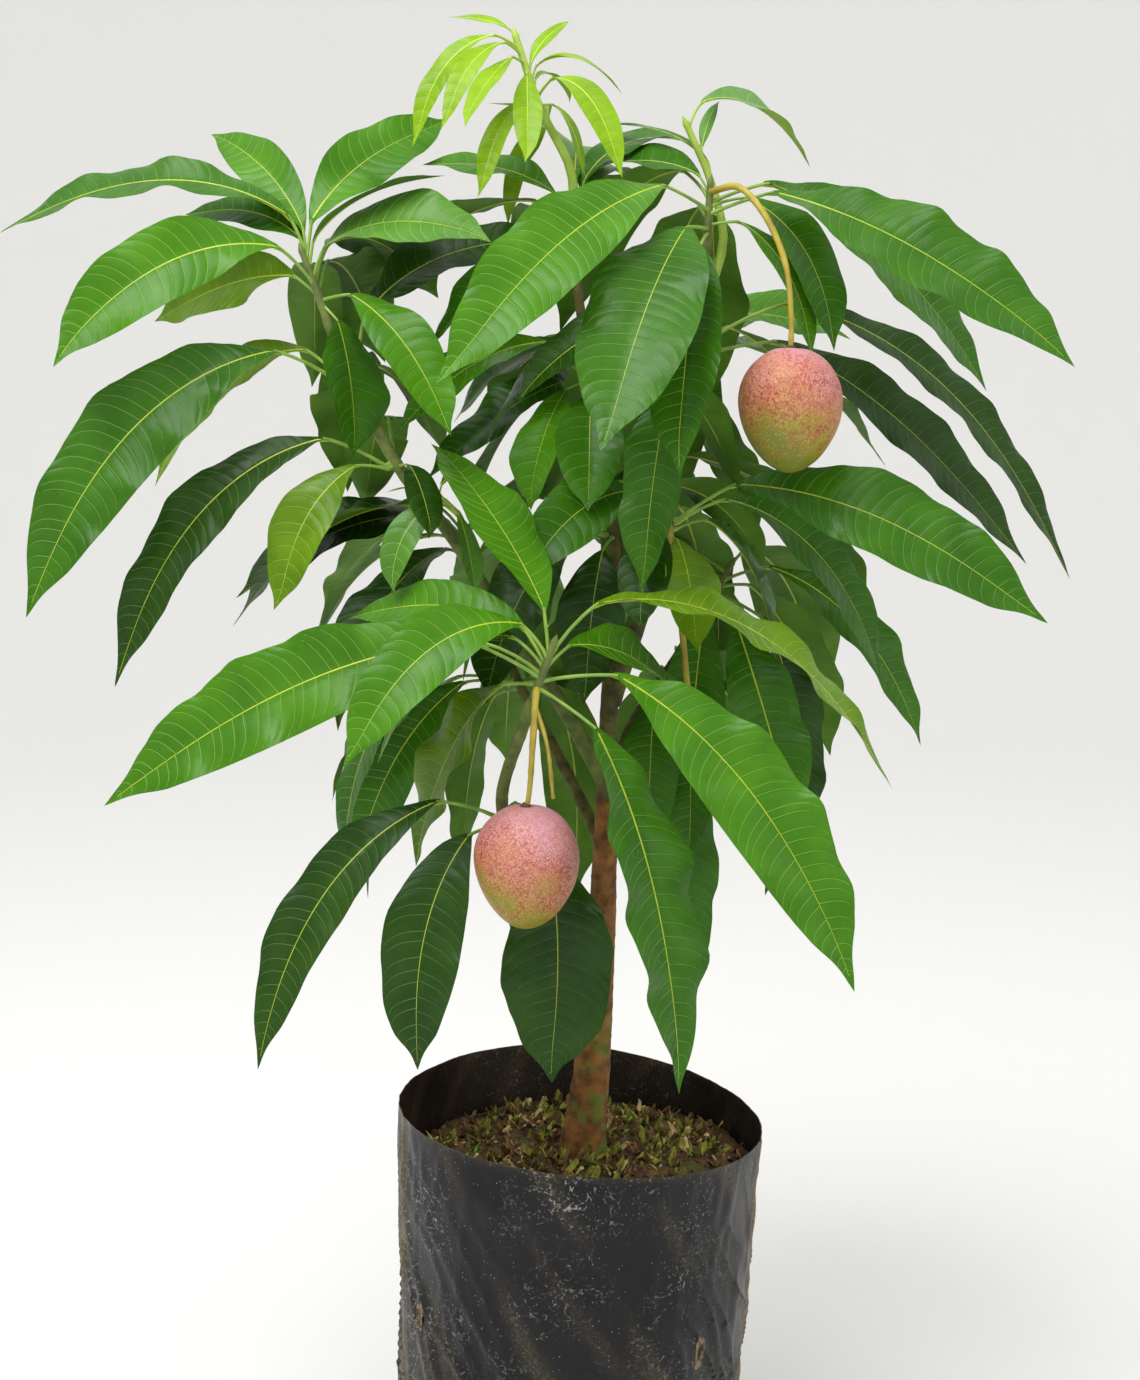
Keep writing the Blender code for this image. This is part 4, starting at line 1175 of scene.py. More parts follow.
def vein_rows(name, number, leaf):
    """The midrib and the side veins of one leaf, drawn flat in its UV plane."""
    blade = leaf.length / 1000 * (1 - PETIOLE_SHARE)
    tone, young = tone_of(name, number), int(name in YOUNG)
    size = min(1.0, leaf.length / 230) ** 0.6
    rib = [RIB_ENDS[0], *(k / RIB_STEPS for k in range(1, RIB_STEPS)), RIB_ENDS[1]]
    rows = [[{"place": (4.0 * number, u, 0), "thick": size * RIB_RADIUS * (1 - 0.82 * u),
              "sink": 0.30, "paint": len(TONES) + young} for u in rib]]
    count = int(blade / VEIN_SPACING)
    for k in range(1, count):
        start = (k + 0.25) / count
        for side in (-1, 1):
            jitter = random.Random(f"{SEED} {name} {number} {k} {side}").uniform(-0.2, 0.2)
            base = start + jitter / count
            reach = 0.93 if blade_width(base) > 0.3 else 0.8
            bend = leaf.width / 2000 * blade_width(min(base, NEAR_END)) / blade
            row = []
            for step in range(VEIN_STEPS + 1):
                out = reach * step / VEIN_STEPS
                u = base + bend * out * (VEIN_LEAN + VEIN_HOOK * out ** 3)
                if u > VEIN_END:
                    break
                row.append({"place": (4.0 * number + side * out, u, 0), "sink": 0.0,
                            "thick": size * VEIN_RADIUS * (1 - 0.6 * out), "paint": tone})
            if len(row) > 2:
                rows.append(row)
    return rows


print("veins on one leaf:", len(vein_rows("left_crown", *GROWN["left_crown"][0][::2])))


# %% Grow the leaves of every whorl
def round_row(points, radii, number):
    """A row for the stalk tree."""
    return [{"place": Vector(p), "thick": r, "paint": number} for p, r in zip(points, radii)]


STALK_TONES = {"green": 0, "brown": 1, "yellow": 2, "young": 3}
leaf_pieces = {}
for name, grown in GROWN.items():
    if not grown:
        continue
    sheet = grown_from(guide(name + "_blades", [blade_row(name, *entry) for entry in grown]),
                       blades, {"Fold": LEAF_FOLD}, sharp=50)
    rows = [row for number, root, leaf in grown for row in vein_rows(name, number, leaf)]
    piece = grown_from(guide(name + "_leaves", rows), veins, {"Blades": sheet})
    bpy.data.objects.remove(sheet, do_unlink=True)
    leaf_pieces[name] = piece
print("leaves:", sum(faces_of(p) for p in leaf_pieces.values()), "triangles in",
      len(leaf_pieces), "pieces")


# %% Grow the stalks and the stems that carry them
PETIOLE_STEPS = 8
PETIOLE_THIN = 0.00125
PETIOLE_SWELL = 0.0008
BARE_STEP = 0.006
# The bud: how far past the stem's end, and how thick it is there.
BUD = {-0.001: 0.0024, 0.002: 0.0027, 0.005: 0.0016, 0.008: 0.0003}


def petiole(name, root, leaf):
    """One leaf's stalk, from inside what carries it to a little way under the blade."""
    shares = [k / PETIOLE_STEPS * (PETIOLE_SHARE + 0.02) for k in range(PETIOLE_STEPS + 1)]
    points = [place for place, _, _ in leaf_frames(root, leaf, shares)]
    size = min(1.0, leaf.length / 200) ** 0.5
    radii = [size * (PETIOLE_THIN + PETIOLE_SWELL * math.exp(-k * 0.9))
             for k in range(PETIOLE_STEPS + 1)]
    if WHORLS[name].share < 1.0 and name not in STEM_ROUTES:
        centre, run, radius = along(WHORLS[name].limb, WHORLS[name].share)
        foot = centre + run * (root - centre).dot(run)
        points = [foot + (root - foot).normalized() * radius * 0.5] + points
        radii = [radii[0] * 1.25] + radii
    return round_row(points, radii, STALK_TONES["young" if name in YOUNG else "green"])


def stem_rows(name):
    """The short stem of a whorl with the bud at its end."""
    if WHORLS[name].share < 1.0 and name not in STEM_ROUTES:
        return []
    line = stem_line(name)
    if len(line) == 2:
        line = [line[0].lerp(line[1], k / 6) for k in range(7)]
    ahead = (line[-1] - line[-2]).normalized()
    tone = STALK_TONES["young" if name in YOUNG else "brown"]
    radii = [STEM_RADIUS - STEM_TAPER * k / (len(line) - 1) for k in range(len(line))]
    line = [line[0] - (line[1] - line[0]).normalized() * 0.004] + line
    radii = [radii[0]] + radii
    row = round_row(line, radii, tone)
    return [row, round_row([line[-1] + ahead * d for d in BUD], BUD.values(), tone)]


twig_pieces = {}
for name, grown in GROWN.items():
    rows = [petiole(name, root, leaf) for _, root, leaf in grown] + stem_rows(name)
    if name == BARE_STALK[0]:
        line = smooth_route([round_limb(name, BARE_STALK[1], 0.0)] + BARE_STALK[2], BARE_STEP)
        rows.append(round_row(line, [STALK_RADIUS * 1.35] * len(line), STALK_TONES["yellow"]))
    twig_pieces[name] = grown_from(guide(name + "_stalks", rows), stalks)
print("stalks:", sum(faces_of(p) for p in twig_pieces.values()), "triangles")

# %% The tree for bark
barks, given, made = geometry_tree("limb bark", [
    ("Sides", "NodeSocketInt", 20), ("Relief", "NodeSocketFloat", 0.06),
    ("Cracks", "NodeSocketFloat", 160.0), ("Material", "NodeSocketMaterial", None)])
limb = swept_round(barks, given["Geometry"], given["Sides"])
spot = add(barks, "GeometryNodeInputPosition", out=0)
drawn_out = vectors(barks, "MULTIPLY", spot, (1.0, 1.0, 0.3))
crack = noise_at(barks, drawn_out, given["Cracks"], 4.0, Roughness=0.6)
swell = noise_at(barks, spot, 38.0, 2.0)
depth = sums(barks, "SUBTRACT", sums(barks, "ADD", crack, swell), 1.0)
depth = sums(barks, "MULTIPLY", sums(barks, "MULTIPLY", depth, given["Relief"]),
             carried(barks, "thick"))
limb = moved(barks, limb, Offset=vectors(
    barks, "SCALE", add(barks, "GeometryNodeInputNormal", out=0), depth))
limb = realized(barks, smooth(barks, limb))
barks.links.new(add(barks, "GeometryNodeSetMaterial", {
    "Geometry": limb, "Material": given["Material"]}, out=0), made["Geometry"])
print("bark tree:", len(barks.nodes), "nodes")


# %% Bark finishes and the limbs themselves
def bark_finish(name, low, high, moss, moss_top):
    """Bark: two browns, fine cracks, and green patches that fade out with height."""
    made, tree, sockets = finish(name, Roughness=0.82)
    wood = clouds(tree, low, high, 95.0, 6.0)
    place = add(tree, "ShaderNodeTexCoord", out="Object")
    high_up = add(tree, "ShaderNodeSeparateXYZ", {0: place}, out=2)
    fade = clamp_to(tree, high_up, moss_top, SOIL_TOP - 0.02)
    patch = clamp_to(tree, use(tree, mottle, "Mask", {"Scale": 60.0, "Detail": 5.0}), 0.55, 0.8)
    green = sums(tree, "MULTIPLY", fade, patch)
    tree.links.new(mix(tree, green, wood, paint(moss)), sockets["Base Color"])
    grained(tree, sockets, (240.0, 900.0, 0.6), 0.8, 0.0012)
    return made


bark_base = bark_finish("bark_old", "54340f", "96662c", "64802a", 0.47)
bark_upper = bark_finish("bark_young", "3f3c1c", "6b6630", "6d7b35", 0.9)
bark_green = bark_finish("bark_green", "4d5a2a", "74803c", "55702c", 0.8)
BARK_STEP = 0.0026
RING_SPACING = 0.014
RING_WIDTH = 0.0018
FORK_SWELL = 0.22
FORK_LENGTH = 0.010
YOUNG_BARK_FROM = 0.60
YOUNG_BARK_DRIFT = 0.03


def limb_row(name):
    """The points along a limb, with shallow rings where old leaves sat."""
    root, tip, route = LIMBS[name]
    rng = random.Random(f"{SEED} rings {name}")
    points = smooth_route(route, BARK_STEP)
    length = BARK_STEP * len(points)
    rings = [k * RING_SPACING + rng.uniform(-0.004, 0.004)
             for k in range(1, int(length / RING_SPACING) + 1)]
    row = []
    for k, point in enumerate(points):
        share = k / (len(points) - 1)
        radius = tip + (root - tip) * (1 - share) ** 2 + root_flare(name, point)
        if name != "trunk":
            radius *= 1 + FORK_SWELL * math.exp(-k * BARK_STEP / FORK_LENGTH)
        near = min(abs(k * BARK_STEP - r) for r in rings)
        radius *= 1 + (0.02 + 0.05 * share) * math.exp(-(near / RING_WIDTH) ** 2)
        row.append({"place": point, "thick": radius})
    return row


limb_pieces = {}
for name in LIMBS:
    row = limb_row(name)
    is_trunk = name == "trunk"
    made = grown_from(guide(name + "_bark", [row]), barks, {
        "Sides": 30 if is_trunk else 18, "Relief": 0.11 if is_trunk else 0.07,
        "Material": bark_base if is_trunk else (
            bark_green if name in ("bough_front", "bough_left") else bark_upper)}, sharp=60)
    limb_pieces[name] = made

# Above an uneven edge the trunk wears the younger bark.
trunk_mesh = limb_pieces["trunk"].data
trunk_mesh.materials.append(bark_upper)
for face in trunk_mesh.polygons:
    middle = face.center
    edge = YOUNG_BARK_FROM + YOUNG_BARK_DRIFT * noise.noise(middle * 60)
    face.material_index = 1 if middle.z > edge else 0
print("limbs:", sum(faces_of(p) for p in limb_pieces.values()), "triangles")

# %% [markdown]
# ## The two mangoes
#
# A mango is nearly an egg with its blunt end up. The stalk sits in a slight hollow there,
# and one side bulges more than the other. The skin turns from pink at the shoulder through
# orange to yellow-green at the foot. It is speckled with fine reddish and pale dots and
# dulled by a waxy bloom. The blush has a place, so each fruit has a material of its own.

# %% Fruit skin
# Colours of the skin, by their share of the way from the foot to the shoulder.
SKIN_COLOURS = [(0.0, "6a7c0a"), (0.24, "95900e"), (0.42, "b58240"), (0.60, "c47c5e"),
                (0.78, "c8817f"), (1.0, "c78a96")]
SKIN_FOOT = -0.036
SKIN_SHOULDER = 0.056


def mango_skin(name, middle, blush):
    """Skin that turns from yellow-green at the foot to pink at the shoulder."""
    made, tree, sockets = finish(name, Roughness=0.5, Coat_Weight=0.08, Coat_Roughness=0.4,
                                 Subsurface_Weight=0.08, Subsurface_Scale=0.006)
    place = add(tree, "ShaderNodeTexCoord", out="Object")
    local = add(tree, "ShaderNodeMapping", {"Vector": place, "Location": tuple(
        -c for c in middle)}, out=0)
    axes = add(tree, "ShaderNodeSeparateXYZ", {0: local})
    drift = use(tree, mottle, "Mask", {"Scale": 42.0, "Detail": 5.0})
    level = sums(tree, "MULTIPLY_ADD", drift, 0.022, axes.outputs[2])
    level = sums(tree, "MULTIPLY_ADD", axes.outputs[0], 0.35, level)
    share = clamp_to(tree, level, SKIN_FOOT + blush, SKIN_SHOULDER + blush)
    ramp = add(tree, "ShaderNodeValToRGB", {0: share})
    for _ in SKIN_COLOURS[2:]:
        ramp.color_ramp.elements.new(0.5)
    for stop, (where, code) in zip(ramp.color_ramp.elements, SKIN_COLOURS):
        stop.position = where
        stop.color = paint(code)
    curl = noise_at(tree, place, 340.0, 1.0, Distortion=1.2)
    red = line_where_half(tree, curl, 0.085, 0.035)
    band = line_where_half(tree, share, 0.60, 0.25)
    band = sums(tree, "MULTIPLY", band, sums(tree, "MULTIPLY_ADD", drift, 0.6, 0.6))
    red = sums(tree, "MULTIPLY", red, band)
    skin = mix(tree, red, ramp.outputs[0], paint("96381c"))
    fleck = add(tree, "ShaderNodeTexVoronoi", {"Vector": place, "Scale": 420.0}, out="Distance")
    pale = sums(tree, "MULTIPLY", clamp_to(tree, fleck, 0.28, 0.12), 0.3)
    skin = mix(tree, pale, skin, paint("e8cfa8"))
    bloom = sums(tree, "MULTIPLY", use(tree, mottle, "Mask", {"Scale": 30.0}),
                 sums(tree, "MULTIPLY", share, 0.2))
    tree.links.new(mix(tree, bloom, skin, paint("dfbcbc")), sockets["Base Color"])
    grained(tree, sockets, (300.0, 1200.0, 0.5), 0.35, 0.0004)
    return made


print("skin colours from foot to shoulder:", len(SKIN_COLOURS))


# %% The shape of a mango
FRUIT_ROUND = 56
FRUIT_LEVELS = 44
HOLLOW_DEPTH = 0.0022
HOLLOW_WIDTH = 0.16
BELLY = 0.05
BULGE = 0.022
SQUARENESS = 0.012
SKIN_DENT = 0.0006
BLUSH = {"fruit_front": 0.0, "fruit_right": 0.010}


def mango(name):
    """The fruit's skin as rings from its foot to its hollow shoulder."""
    middle = Vector(FRUITS[name][1])
    work = bmesh.new()
    rings = []
    for level in range(1, FRUIT_LEVELS):
        z = -math.cos(math.pi * level / FRUIT_LEVELS)
        r = math.sqrt(1 - z * z)
        full = FRUIT_RADIUS * (1 + FRUIT_SHOULDER * z - BELLY * z * z) * r
        rise = z * FRUIT_HEIGHT / 2 - HOLLOW_DEPTH * math.exp(-(r / HOLLOW_WIDTH) ** 2) * (z > 0)
        ring = []
        for k in range(FRUIT_ROUND):
            turn = 2 * math.pi * k / FRUIT_ROUND
            bulge = 1 + BULGE * math.cos(turn) * (1 - z)
            bulge -= SQUARENESS * math.cos(2 * turn) * (1 - z)
            spot = Vector((full * bulge * math.cos(turn),
                           full * FRUIT_FLATNESS * math.sin(turn), rise))
            dent = SKIN_DENT * noise.noise(spot * 45)
            ring.append(work.verts.new(middle + spot * (1 + dent / FRUIT_RADIUS)))
        rings.append(ring)
    join_rings(work, rings)
    for ring, z in ((rings[0], -1), (rings[-1], 1)):
        rise = z * FRUIT_HEIGHT / 2 - HOLLOW_DEPTH * (z > 0)
        pole = work.verts.new(middle + Vector((0, 0, rise)))
        for k in range(FRUIT_ROUND):
            work.faces.new((ring[k], ring[(k + 1) % FRUIT_ROUND], pole))
    bmesh.ops.recalc_face_normals(work, faces=work.faces)
    return piece_from(work, name + "_skin", mango_skin(name + "_skin", middle, BLUSH[name]))


print("corners in one mango's rings:", FRUIT_ROUND * (FRUIT_LEVELS - 1))


# %% Fruits and their stalks
STALK_STEP = 0.0035
CAP_SUNK = 0.0032
# The cap where the stalk meets the fruit: how far up, and how thick it is there.
CAP = {0.0: 0.0044, 0.0014: 0.0042, 0.0030: 0.0032, 0.0042: 0.0021}


def fruit_stalk(name):
    """The points of a fruit's stalk, from the stem that carries it down into the fruit."""
    whorl, middle, route = FRUITS[name]
    line = stem_line(whorl)
    run = (line[-1] - line[0]).normalized()
    reach = (line[-1] - line[0]).length
    ahead = max(STEM_SPARE, min((Vector(route[0]) - line[0]).dot(run), reach - STEM_SPARE))
    seat = line[0] + run * ahead
    sunk = Vector(middle) + Vector((0, 0, FRUIT_HEIGHT * STALK_SUNK))
    return smooth_route([seat] + [Vector(p) for p in route] + [sunk], STALK_STEP)


cap_finish = line_finish("stalk_cap", "4a3424", "6a4a2c", 0.8)
fruit_pieces = {}
for name in FRUITS:
    rng = random.Random(f"{SEED} knobs {name}")
    line = fruit_stalk(name)
    radii = [STALK_RADIUS * (1.45 - 0.5 * k / len(line)) * rng.uniform(0.92, 1.12)
             for k in range(len(line))]
    rows = [round_row(line, radii, STALK_TONES["yellow"])]
    if name == "fruit_front":
        side = smooth_route(SIDE_STALK, STALK_STEP)
        rows.append(round_row(side, [STALK_RADIUS * 0.8 * rng.uniform(0.85, 1.15)
                                     for _ in side], STALK_TONES["yellow"]))
    knob = Vector(FRUITS[name][1]) + Vector((0, 0, FRUIT_HEIGHT / 2 - CAP_SUNK))
    stalk = grown_from(guide(name + "_stalk", rows), stalks)
    cap = grown_from(guide(name + "_cap", [round_row(
        [knob + Vector((0, 0, h)) for h in CAP], CAP.values(), 0)]), stalks)
    cap.data.materials.clear()
    cap.data.materials.append(cap_finish)
    for face in cap.data.polygons:
        face.material_index = 0
    fruit_pieces[name] = [mango(name), stalk, cap]
print("fruits:", sum(faces_of(p) for ps in fruit_pieces.values() for p in ps), "triangles")

# %% [markdown]
# ## The grow bag
#
# The bag is a tube of thin black film, filled and stood up. It was a flat tube once, so it
# keeps a worn crease down each side. The soil pushes it out in soft dents and slanting
# wrinkles, and its free rim wanders a little. The shell is made ring by ring with noise for the
# dents. Solidify gives it a wall, whose inside takes a finish of its own.

# %% Film finishes
def film_finish(name, black, sheen, dust_and_sheen_share, scuffed):
    """Black film: grey smears of dust and painted sheen, curly scuffs, pale specks, worn creases.
    """
    made, tree, sockets = finish(name, Roughness=0.4, Specular_IOR_Level=0.24)
    place = add(tree, "ShaderNodeTexCoord", out="Object")
    patch = clamp_to(tree, use(tree, mottle, "Mask", {"Scale": 13.0, "Detail": 2.0}), 0.2, 0.9)
    broken = clamp_to(tree, noise_at(tree, place, 420.0, 2.0), 0.47, 0.60)
    colour = clouds(tree, black, sheen, 11.0, 4.0)
    for scale, width, share in ((24.0, 0.012, 0.8), (52.0, 0.018, 0.7)):
        swirl = noise_at(tree, place, scale, 2.0, Distortion=1.6)
        line = line_where_half(tree, swirl, width, width * 0.25)
        scuff = sums(tree, "MULTIPLY", sums(tree, "MULTIPLY", line, broken),
                     sums(tree, "MULTIPLY", patch, share * scuffed))
        colour = mix(tree, scuff, colour, paint("9c9c99"))
    cell = add(tree, "ShaderNodeTexVoronoi", {"Vector": place, "Scale": 420.0})
    lot = add(tree, "ShaderNodeSeparateXYZ", {0: cell.outputs["Color"]}, out=0)
    speck = sums(tree, "MULTIPLY", clamp_to(tree, cell.outputs["Distance"], 0.24, 0.08),
                 sums(tree, "GREATER_THAN", lot, 0.90))
    colour = mix(tree, sums(tree, "MULTIPLY", speck, 0.6 * scuffed), colour, paint("b5b4ac"))
    worn = add(tree, "ShaderNodeAttribute", out="Fac", attribute_name="worn")
    rub = sums(tree, "MULTIPLY", worn, sums(tree, "MULTIPLY_ADD", broken, 0.55, 0.28))
    colour = mix(tree, rub, colour, paint("94825f"))
    # Soft grey-blue smears: partly dust, partly a painted bluish sheen.
    dust_and_sheen_haze = sums(tree, "MULTIPLY", use(tree, mottle, "Mask", {"Scale": 7.0, "Detail": 5.0}),
                dust_and_sheen_share)
    colour = mix(tree, dust_and_sheen_haze, colour, paint("6a6a70"))
    tree.links.new(colour, sockets["Base Color"])
    rough = sums(tree, "MULTIPLY_ADD", patch, 0.16, 0.28)
    tree.links.new(sums(tree, "MULTIPLY_ADD", rub, 0.3, rough), sockets["Roughness"])
    grained(tree, sockets, (70.0, 600.0, 0.15), 0.45, 0.0012)
    return made


film_out = film_finish("film", "020203", "09090b", 0.035, 1.0)
film_in = film_finish("film_inside", "130f0c", "2f251b", 0.06, 0.35)
print("film finishes:", film_out.name, "and", film_in.name)


# %% The wall of the bag, with its dents
BAG_ROUND = 240
BAG_RISE = 110
FILM = 0.0006
CREASES = (math.radians(196), math.radians(348))
# Dents in the film: how fine their noise is, and how deep it goes.
DENTS = ((7.0, 0.0030), (17.0, 0.0016))
WRINKLE_DEPTH = 0.0036
PLEAT_DEPTH = 0.0012
CORNER_POWER = 14
SWELL_POWER = 0.8
SHIFT_POWER = 1.7


def rim_height(turn):
    """The height of the bag's rim, which leans and sags."""
    return BAG_RIM_HEIGHT - BAG_RIM_LEAN * math.cos(turn) - BAG_RIM_SAG * math.cos(2 * turn)


def wall(turn, z, inset=0.0):
    """A place on the bag's smooth wall."""
    share = z / BAG_RIM_HEIGHT
    corner = BAG_CORNER * abs(math.cos(turn)) ** CORNER_POWER * share
    radius = BAG_BASE_RADIUS + (BAG_RIM_RADIUS - BAG_BASE_RADIUS) * share ** SWELL_POWER
    radius = radius * (1 + corner) - inset
    return Vector((BAG_RIM_SHIFT * share ** SHIFT_POWER + radius * math.cos(turn),
                   radius * math.sin(turn), z))


def film_push(turn, z):
    """How far wrinkles and dents push the film out or in."""
    on_wall = Vector((math.cos(turn), math.sin(turn), 0)) * BAG_RIM_RADIUS + Vector((0, 0, z))
    push = sum(size * noise.noise(on_wall * scale) for scale, size in DENTS)
    slant = Vector((on_wall.x, on_wall.y, 0)) * 14 + Vector((0, 0, z * 30 + turn * 6))
    ridge = 1 - abs(2 * noise.noise(slant))
    low = min(1.0, max(0.15, 1.5 - z / 0.24))
    push += WRINKLE_DEPTH * low * max(0.0, ridge - 0.62) / 0.38
    pleat = 1 - abs(noise.noise(Vector((turn * 7, 3.1, z * 9))))
    push += PLEAT_DEPTH * max(0.0, pleat - 0.86) / 0.14
    return push


print("rim from", round(rim_height(0.0), 3), "to", round(rim_height(math.pi), 3), "m high")

# %% The shell of the bag
FOOT_TURN = 0.007
CALM_HEIGHT = 0.03
CREASE_LIFT = 0.0012
SHARP_CREASE = 0.022
WORN_CREASE = 0.075
RIM_WANDER = 0.0010

film_work = bmesh.new()
worn_layer = film_work.verts.layers.float.new("worn")
film_rings = []
for level in range(BAG_RISE + 1):
    share = level / BAG_RISE
    ring = []
    for k in range(BAG_ROUND):
        turn = 2 * math.pi * k / BAG_ROUND
        out = Vector((math.cos(turn), math.sin(turn), 0))
        z = (rim_height(turn) + RIM_WANDER * noise.noise(out * 5)) * share
        foot = max(0.0, 1 - z / FOOT_HEIGHT)
        inset = FOOT_TURN * foot ** 2
        calm = min(1.0, z / CALM_HEIGHT)
        spot = wall(turn, z, inset - film_push(turn, z) * calm * min(1.0, (1.08 - share) * 6))
        sharp = max(math.exp(-((turn - c) / SHARP_CREASE) ** 2) for c in CREASES)
        spot += out * (CREASE_LIFT * sharp * calm)
        vert = film_work.verts.new(spot)
        wide = max(math.exp(-((turn - c) / WORN_CREASE) ** 2) for c in CREASES)
        lip = math.exp(-((1 - share) / 0.010) ** 2) * 0.15
        ridge_wear = 0.5 * max(0.0, noise.noise(Vector((turn * 5 + z * 20, 0, z * 9))) - 0.1)
        vert[worn_layer] = min(1.0, 0.55 * wide + 0.5 * sharp + lip + ridge_wear)
        ring.append(vert)
    film_rings.append(ring)
join_rings(film_work, film_rings)
film_work.faces.new(film_rings[0][::-1])
bag = piece_from(film_work, "grow_bag_film", film_out, film_in)
shell = bag.modifiers.new("wall", "SOLIDIFY")
shell.thickness = FILM
shell.offset = -1.0
shell.material_offset = 1
bag = baked(bag, sharp=50)
print("bag:", faces_of(bag), "triangles")

# %% [markdown]
# ## Drainage holes
#
# Water has to leave, so such a bag has small holes punched through its film. These have
# torn: ragged lips curl outwards and brown soil shows between them. Each is a small soil-filled
# opening with a torn lip round it, laid on the wall where the hole is.

# %% Torn holes
# Each hole: its turn round the bag in degrees, and its height.
HOLES = ((212, 0.205), (314, 0.190), (50, 0.20), (130, 0.195),
         (262, 0.085), (352, 0.09), (90, 0.08), (175, 0.085))
HOLE_POINTS = 22
# The rings of a hole from its middle out: their size, and how far they stand off the wall.
LIP_RINGS = ((0.0, -0.0002), (0.85, 0.0003), (0.95, 0.0014), (1.25, 0.0018), (1.5, 0.0001))
lip_finish, tree, sockets = finish("torn_film", Roughness=0.7)
tree.links.new(clouds(tree, "3a3029", "8d7c60", 260.0), sockets["Base Color"])
dirt_finish, tree, sockets = finish("hole_dirt", Roughness=0.95)
tree.links.new(clouds(tree, "120c08", "5b3f26", 320.0), sockets["Base Color"])

hole_work = bmesh.new()
for number, (degrees, height) in enumerate(HOLES):
    turn = math.radians(degrees)
    rng = random.Random(f"{SEED} hole {number}")
    tall, broad = rng.uniform(0.007, 0.010), rng.uniform(0.0028, 0.0045)
    ragged = [rng.uniform(0.7, 1.25) for _ in range(HOLE_POINTS)]
    rings = []
    for size, lift in LIP_RINGS:
        ring = []
        for k in range(HOLE_POINTS):
            a = 2 * math.pi * k / HOLE_POINTS
            grow = size * (ragged[k] if size > 0.9 else 1.0)
            z = height + tall * math.sin(a) * grow + 0.2 * broad * math.cos(a) * grow
            side = broad * math.cos(a) * grow / BAG_RIM_RADIUS
            push = film_push(turn + side, z) + lift * (ragged[k] if size > 0.9 else 1.0)
            ring.append(hole_work.verts.new(wall(turn + side, z, -push)))
        rings.append(ring)
    for number_in, (inner, outer) in enumerate(zip(rings, rings[1:])):
        for k in range(HOLE_POINTS):
            after = (k + 1) % HOLE_POINTS
            face = hole_work.faces.new((inner[k], outer[k], outer[after], inner[after]))
            face.material_index = 0 if number_in == 0 else 1
bmesh.ops.remove_doubles(hole_work, verts=hole_work.verts, dist=0.00002)
holes = piece_from(hole_work, "drainage_holes", dirt_finish, lip_finish)
print("holes:", len(HOLES), "with", faces_of(holes), "triangles")

# %% [markdown]
# ## Soil, litter and moss
#
# The soil is lumpy and lies a little below the rim. On it lie crumbs, curled strips of
# bark and brown leaf, and moss. One Geometry Nodes tree strews small shapes over the
# top: it drops points by a seeded rule, turns and sizes each one at random, and realizes
# them as plain mesh. It runs once for each kind of litter.

# %% Soil
SOIL_ROUND = 120
SOIL_RINGS = 34
SOIL_SLACK = 0.006
SOIL_SUNK = 0.0005
HEAP_HEIGHT = 0.004
HEAP_WIDTH = 0.03
trunk_foot = Vector((*LIMBS["trunk"][2][0][:2], 0))


def soil_height(spot, share):
    """The top of the soil: dished towards the wall, lumpy, heaped a little at the trunk."""
    lumps = 0.0042 * noise.noise(spot * 38) + 0.0022 * noise.noise(spot * 95)
    heap = HEAP_HEIGHT * math.exp(-((spot - trunk_foot).length / HEAP_WIDTH) ** 2)
    return SOIL_TOP - SOIL_DIP * share ** 2 + lumps + heap - SOIL_SUNK


soil_finish, tree, sockets = finish("soil", Roughness=0.95)
earth = clouds(tree, "1f150b", "77552f", 110.0, 6.0)
green = clamp_to(tree, use(tree, mottle, "Mask", {"Scale": 34.0, "Detail": 4.0}), 0.55, 0.95)
tree.links.new(mix(tree, sums(tree, "MULTIPLY", green, 0.6), earth, paint("4f5a1f")),
               sockets["Base Color"])
grained(tree, sockets, (160.0, 700.0, 0.7), 1.0, 0.002)

soil_work = bmesh.new()
edge_z = SOIL_TOP - SOIL_DIP
SOIL_INSET = FILM + 0.0030
rings = []
for z in (0.003, 0.12, 0.24):
    turns = [2 * math.pi * k / SOIL_ROUND for k in range(SOIL_ROUND)]
    rings.append([soil_work.verts.new(wall(a, z, SOIL_INSET + SOIL_SLACK)) for a in turns])
for step in range(SOIL_RINGS):
    share = 1 - step / SOIL_RINGS
    ring = []
    for a in turns:
        spot = wall(a, edge_z, SOIL_INSET)
        spot = Vector((*trunk_foot.xy, edge_z)).lerp(spot, share)
        spot.z = 0
        spot.z = soil_height(spot, share)
        ring.append(soil_work.verts.new(spot))
    rings.append(ring)
join_rings(soil_work, rings)
soil_work.faces.new(rings[0][::-1])
soil_work.faces.new(rings[-1])
bmesh.ops.recalc_face_normals(soil_work, faces=soil_work.faces)
soil = piece_from(soil_work, "soil_fill", soil_finish)
print("soil:", faces_of(soil), "triangles")

# %% The tree that strews litter
strewn, given, made = geometry_tree("strewn litter", [
    ("Density", "NodeSocketFloat", 20000.0), ("Seed", "NodeSocketInt", 0),
    ("Smallest", "NodeSocketFloat", 0.5), ("Largest", "NodeSocketFloat", 1.3),
    ("Tilt", "NodeSocketFloat", 0.5), ("Shape", "NodeSocketObject", None),
    ("Material", "NodeSocketMaterial", None)])
patches = add(strewn, "ShaderNodeTexNoise", {"W": given["Seed"], "Scale": 42.0, "Detail": 1.0},
              out=0, noise_dimensions="4D")
drops = add(strewn, "GeometryNodeDistributePointsOnFaces", {
    "Mesh": given["Geometry"], "Seed": given["Seed"],
    "Density": sums(strewn, "MULTIPLY", given["Density"],
                    clamp_to(strewn, patches, 0.42, 0.60))})
shape = add(strewn, "GeometryNodeObjectInfo", {"Object": given["Shape"]}, out="Geometry")
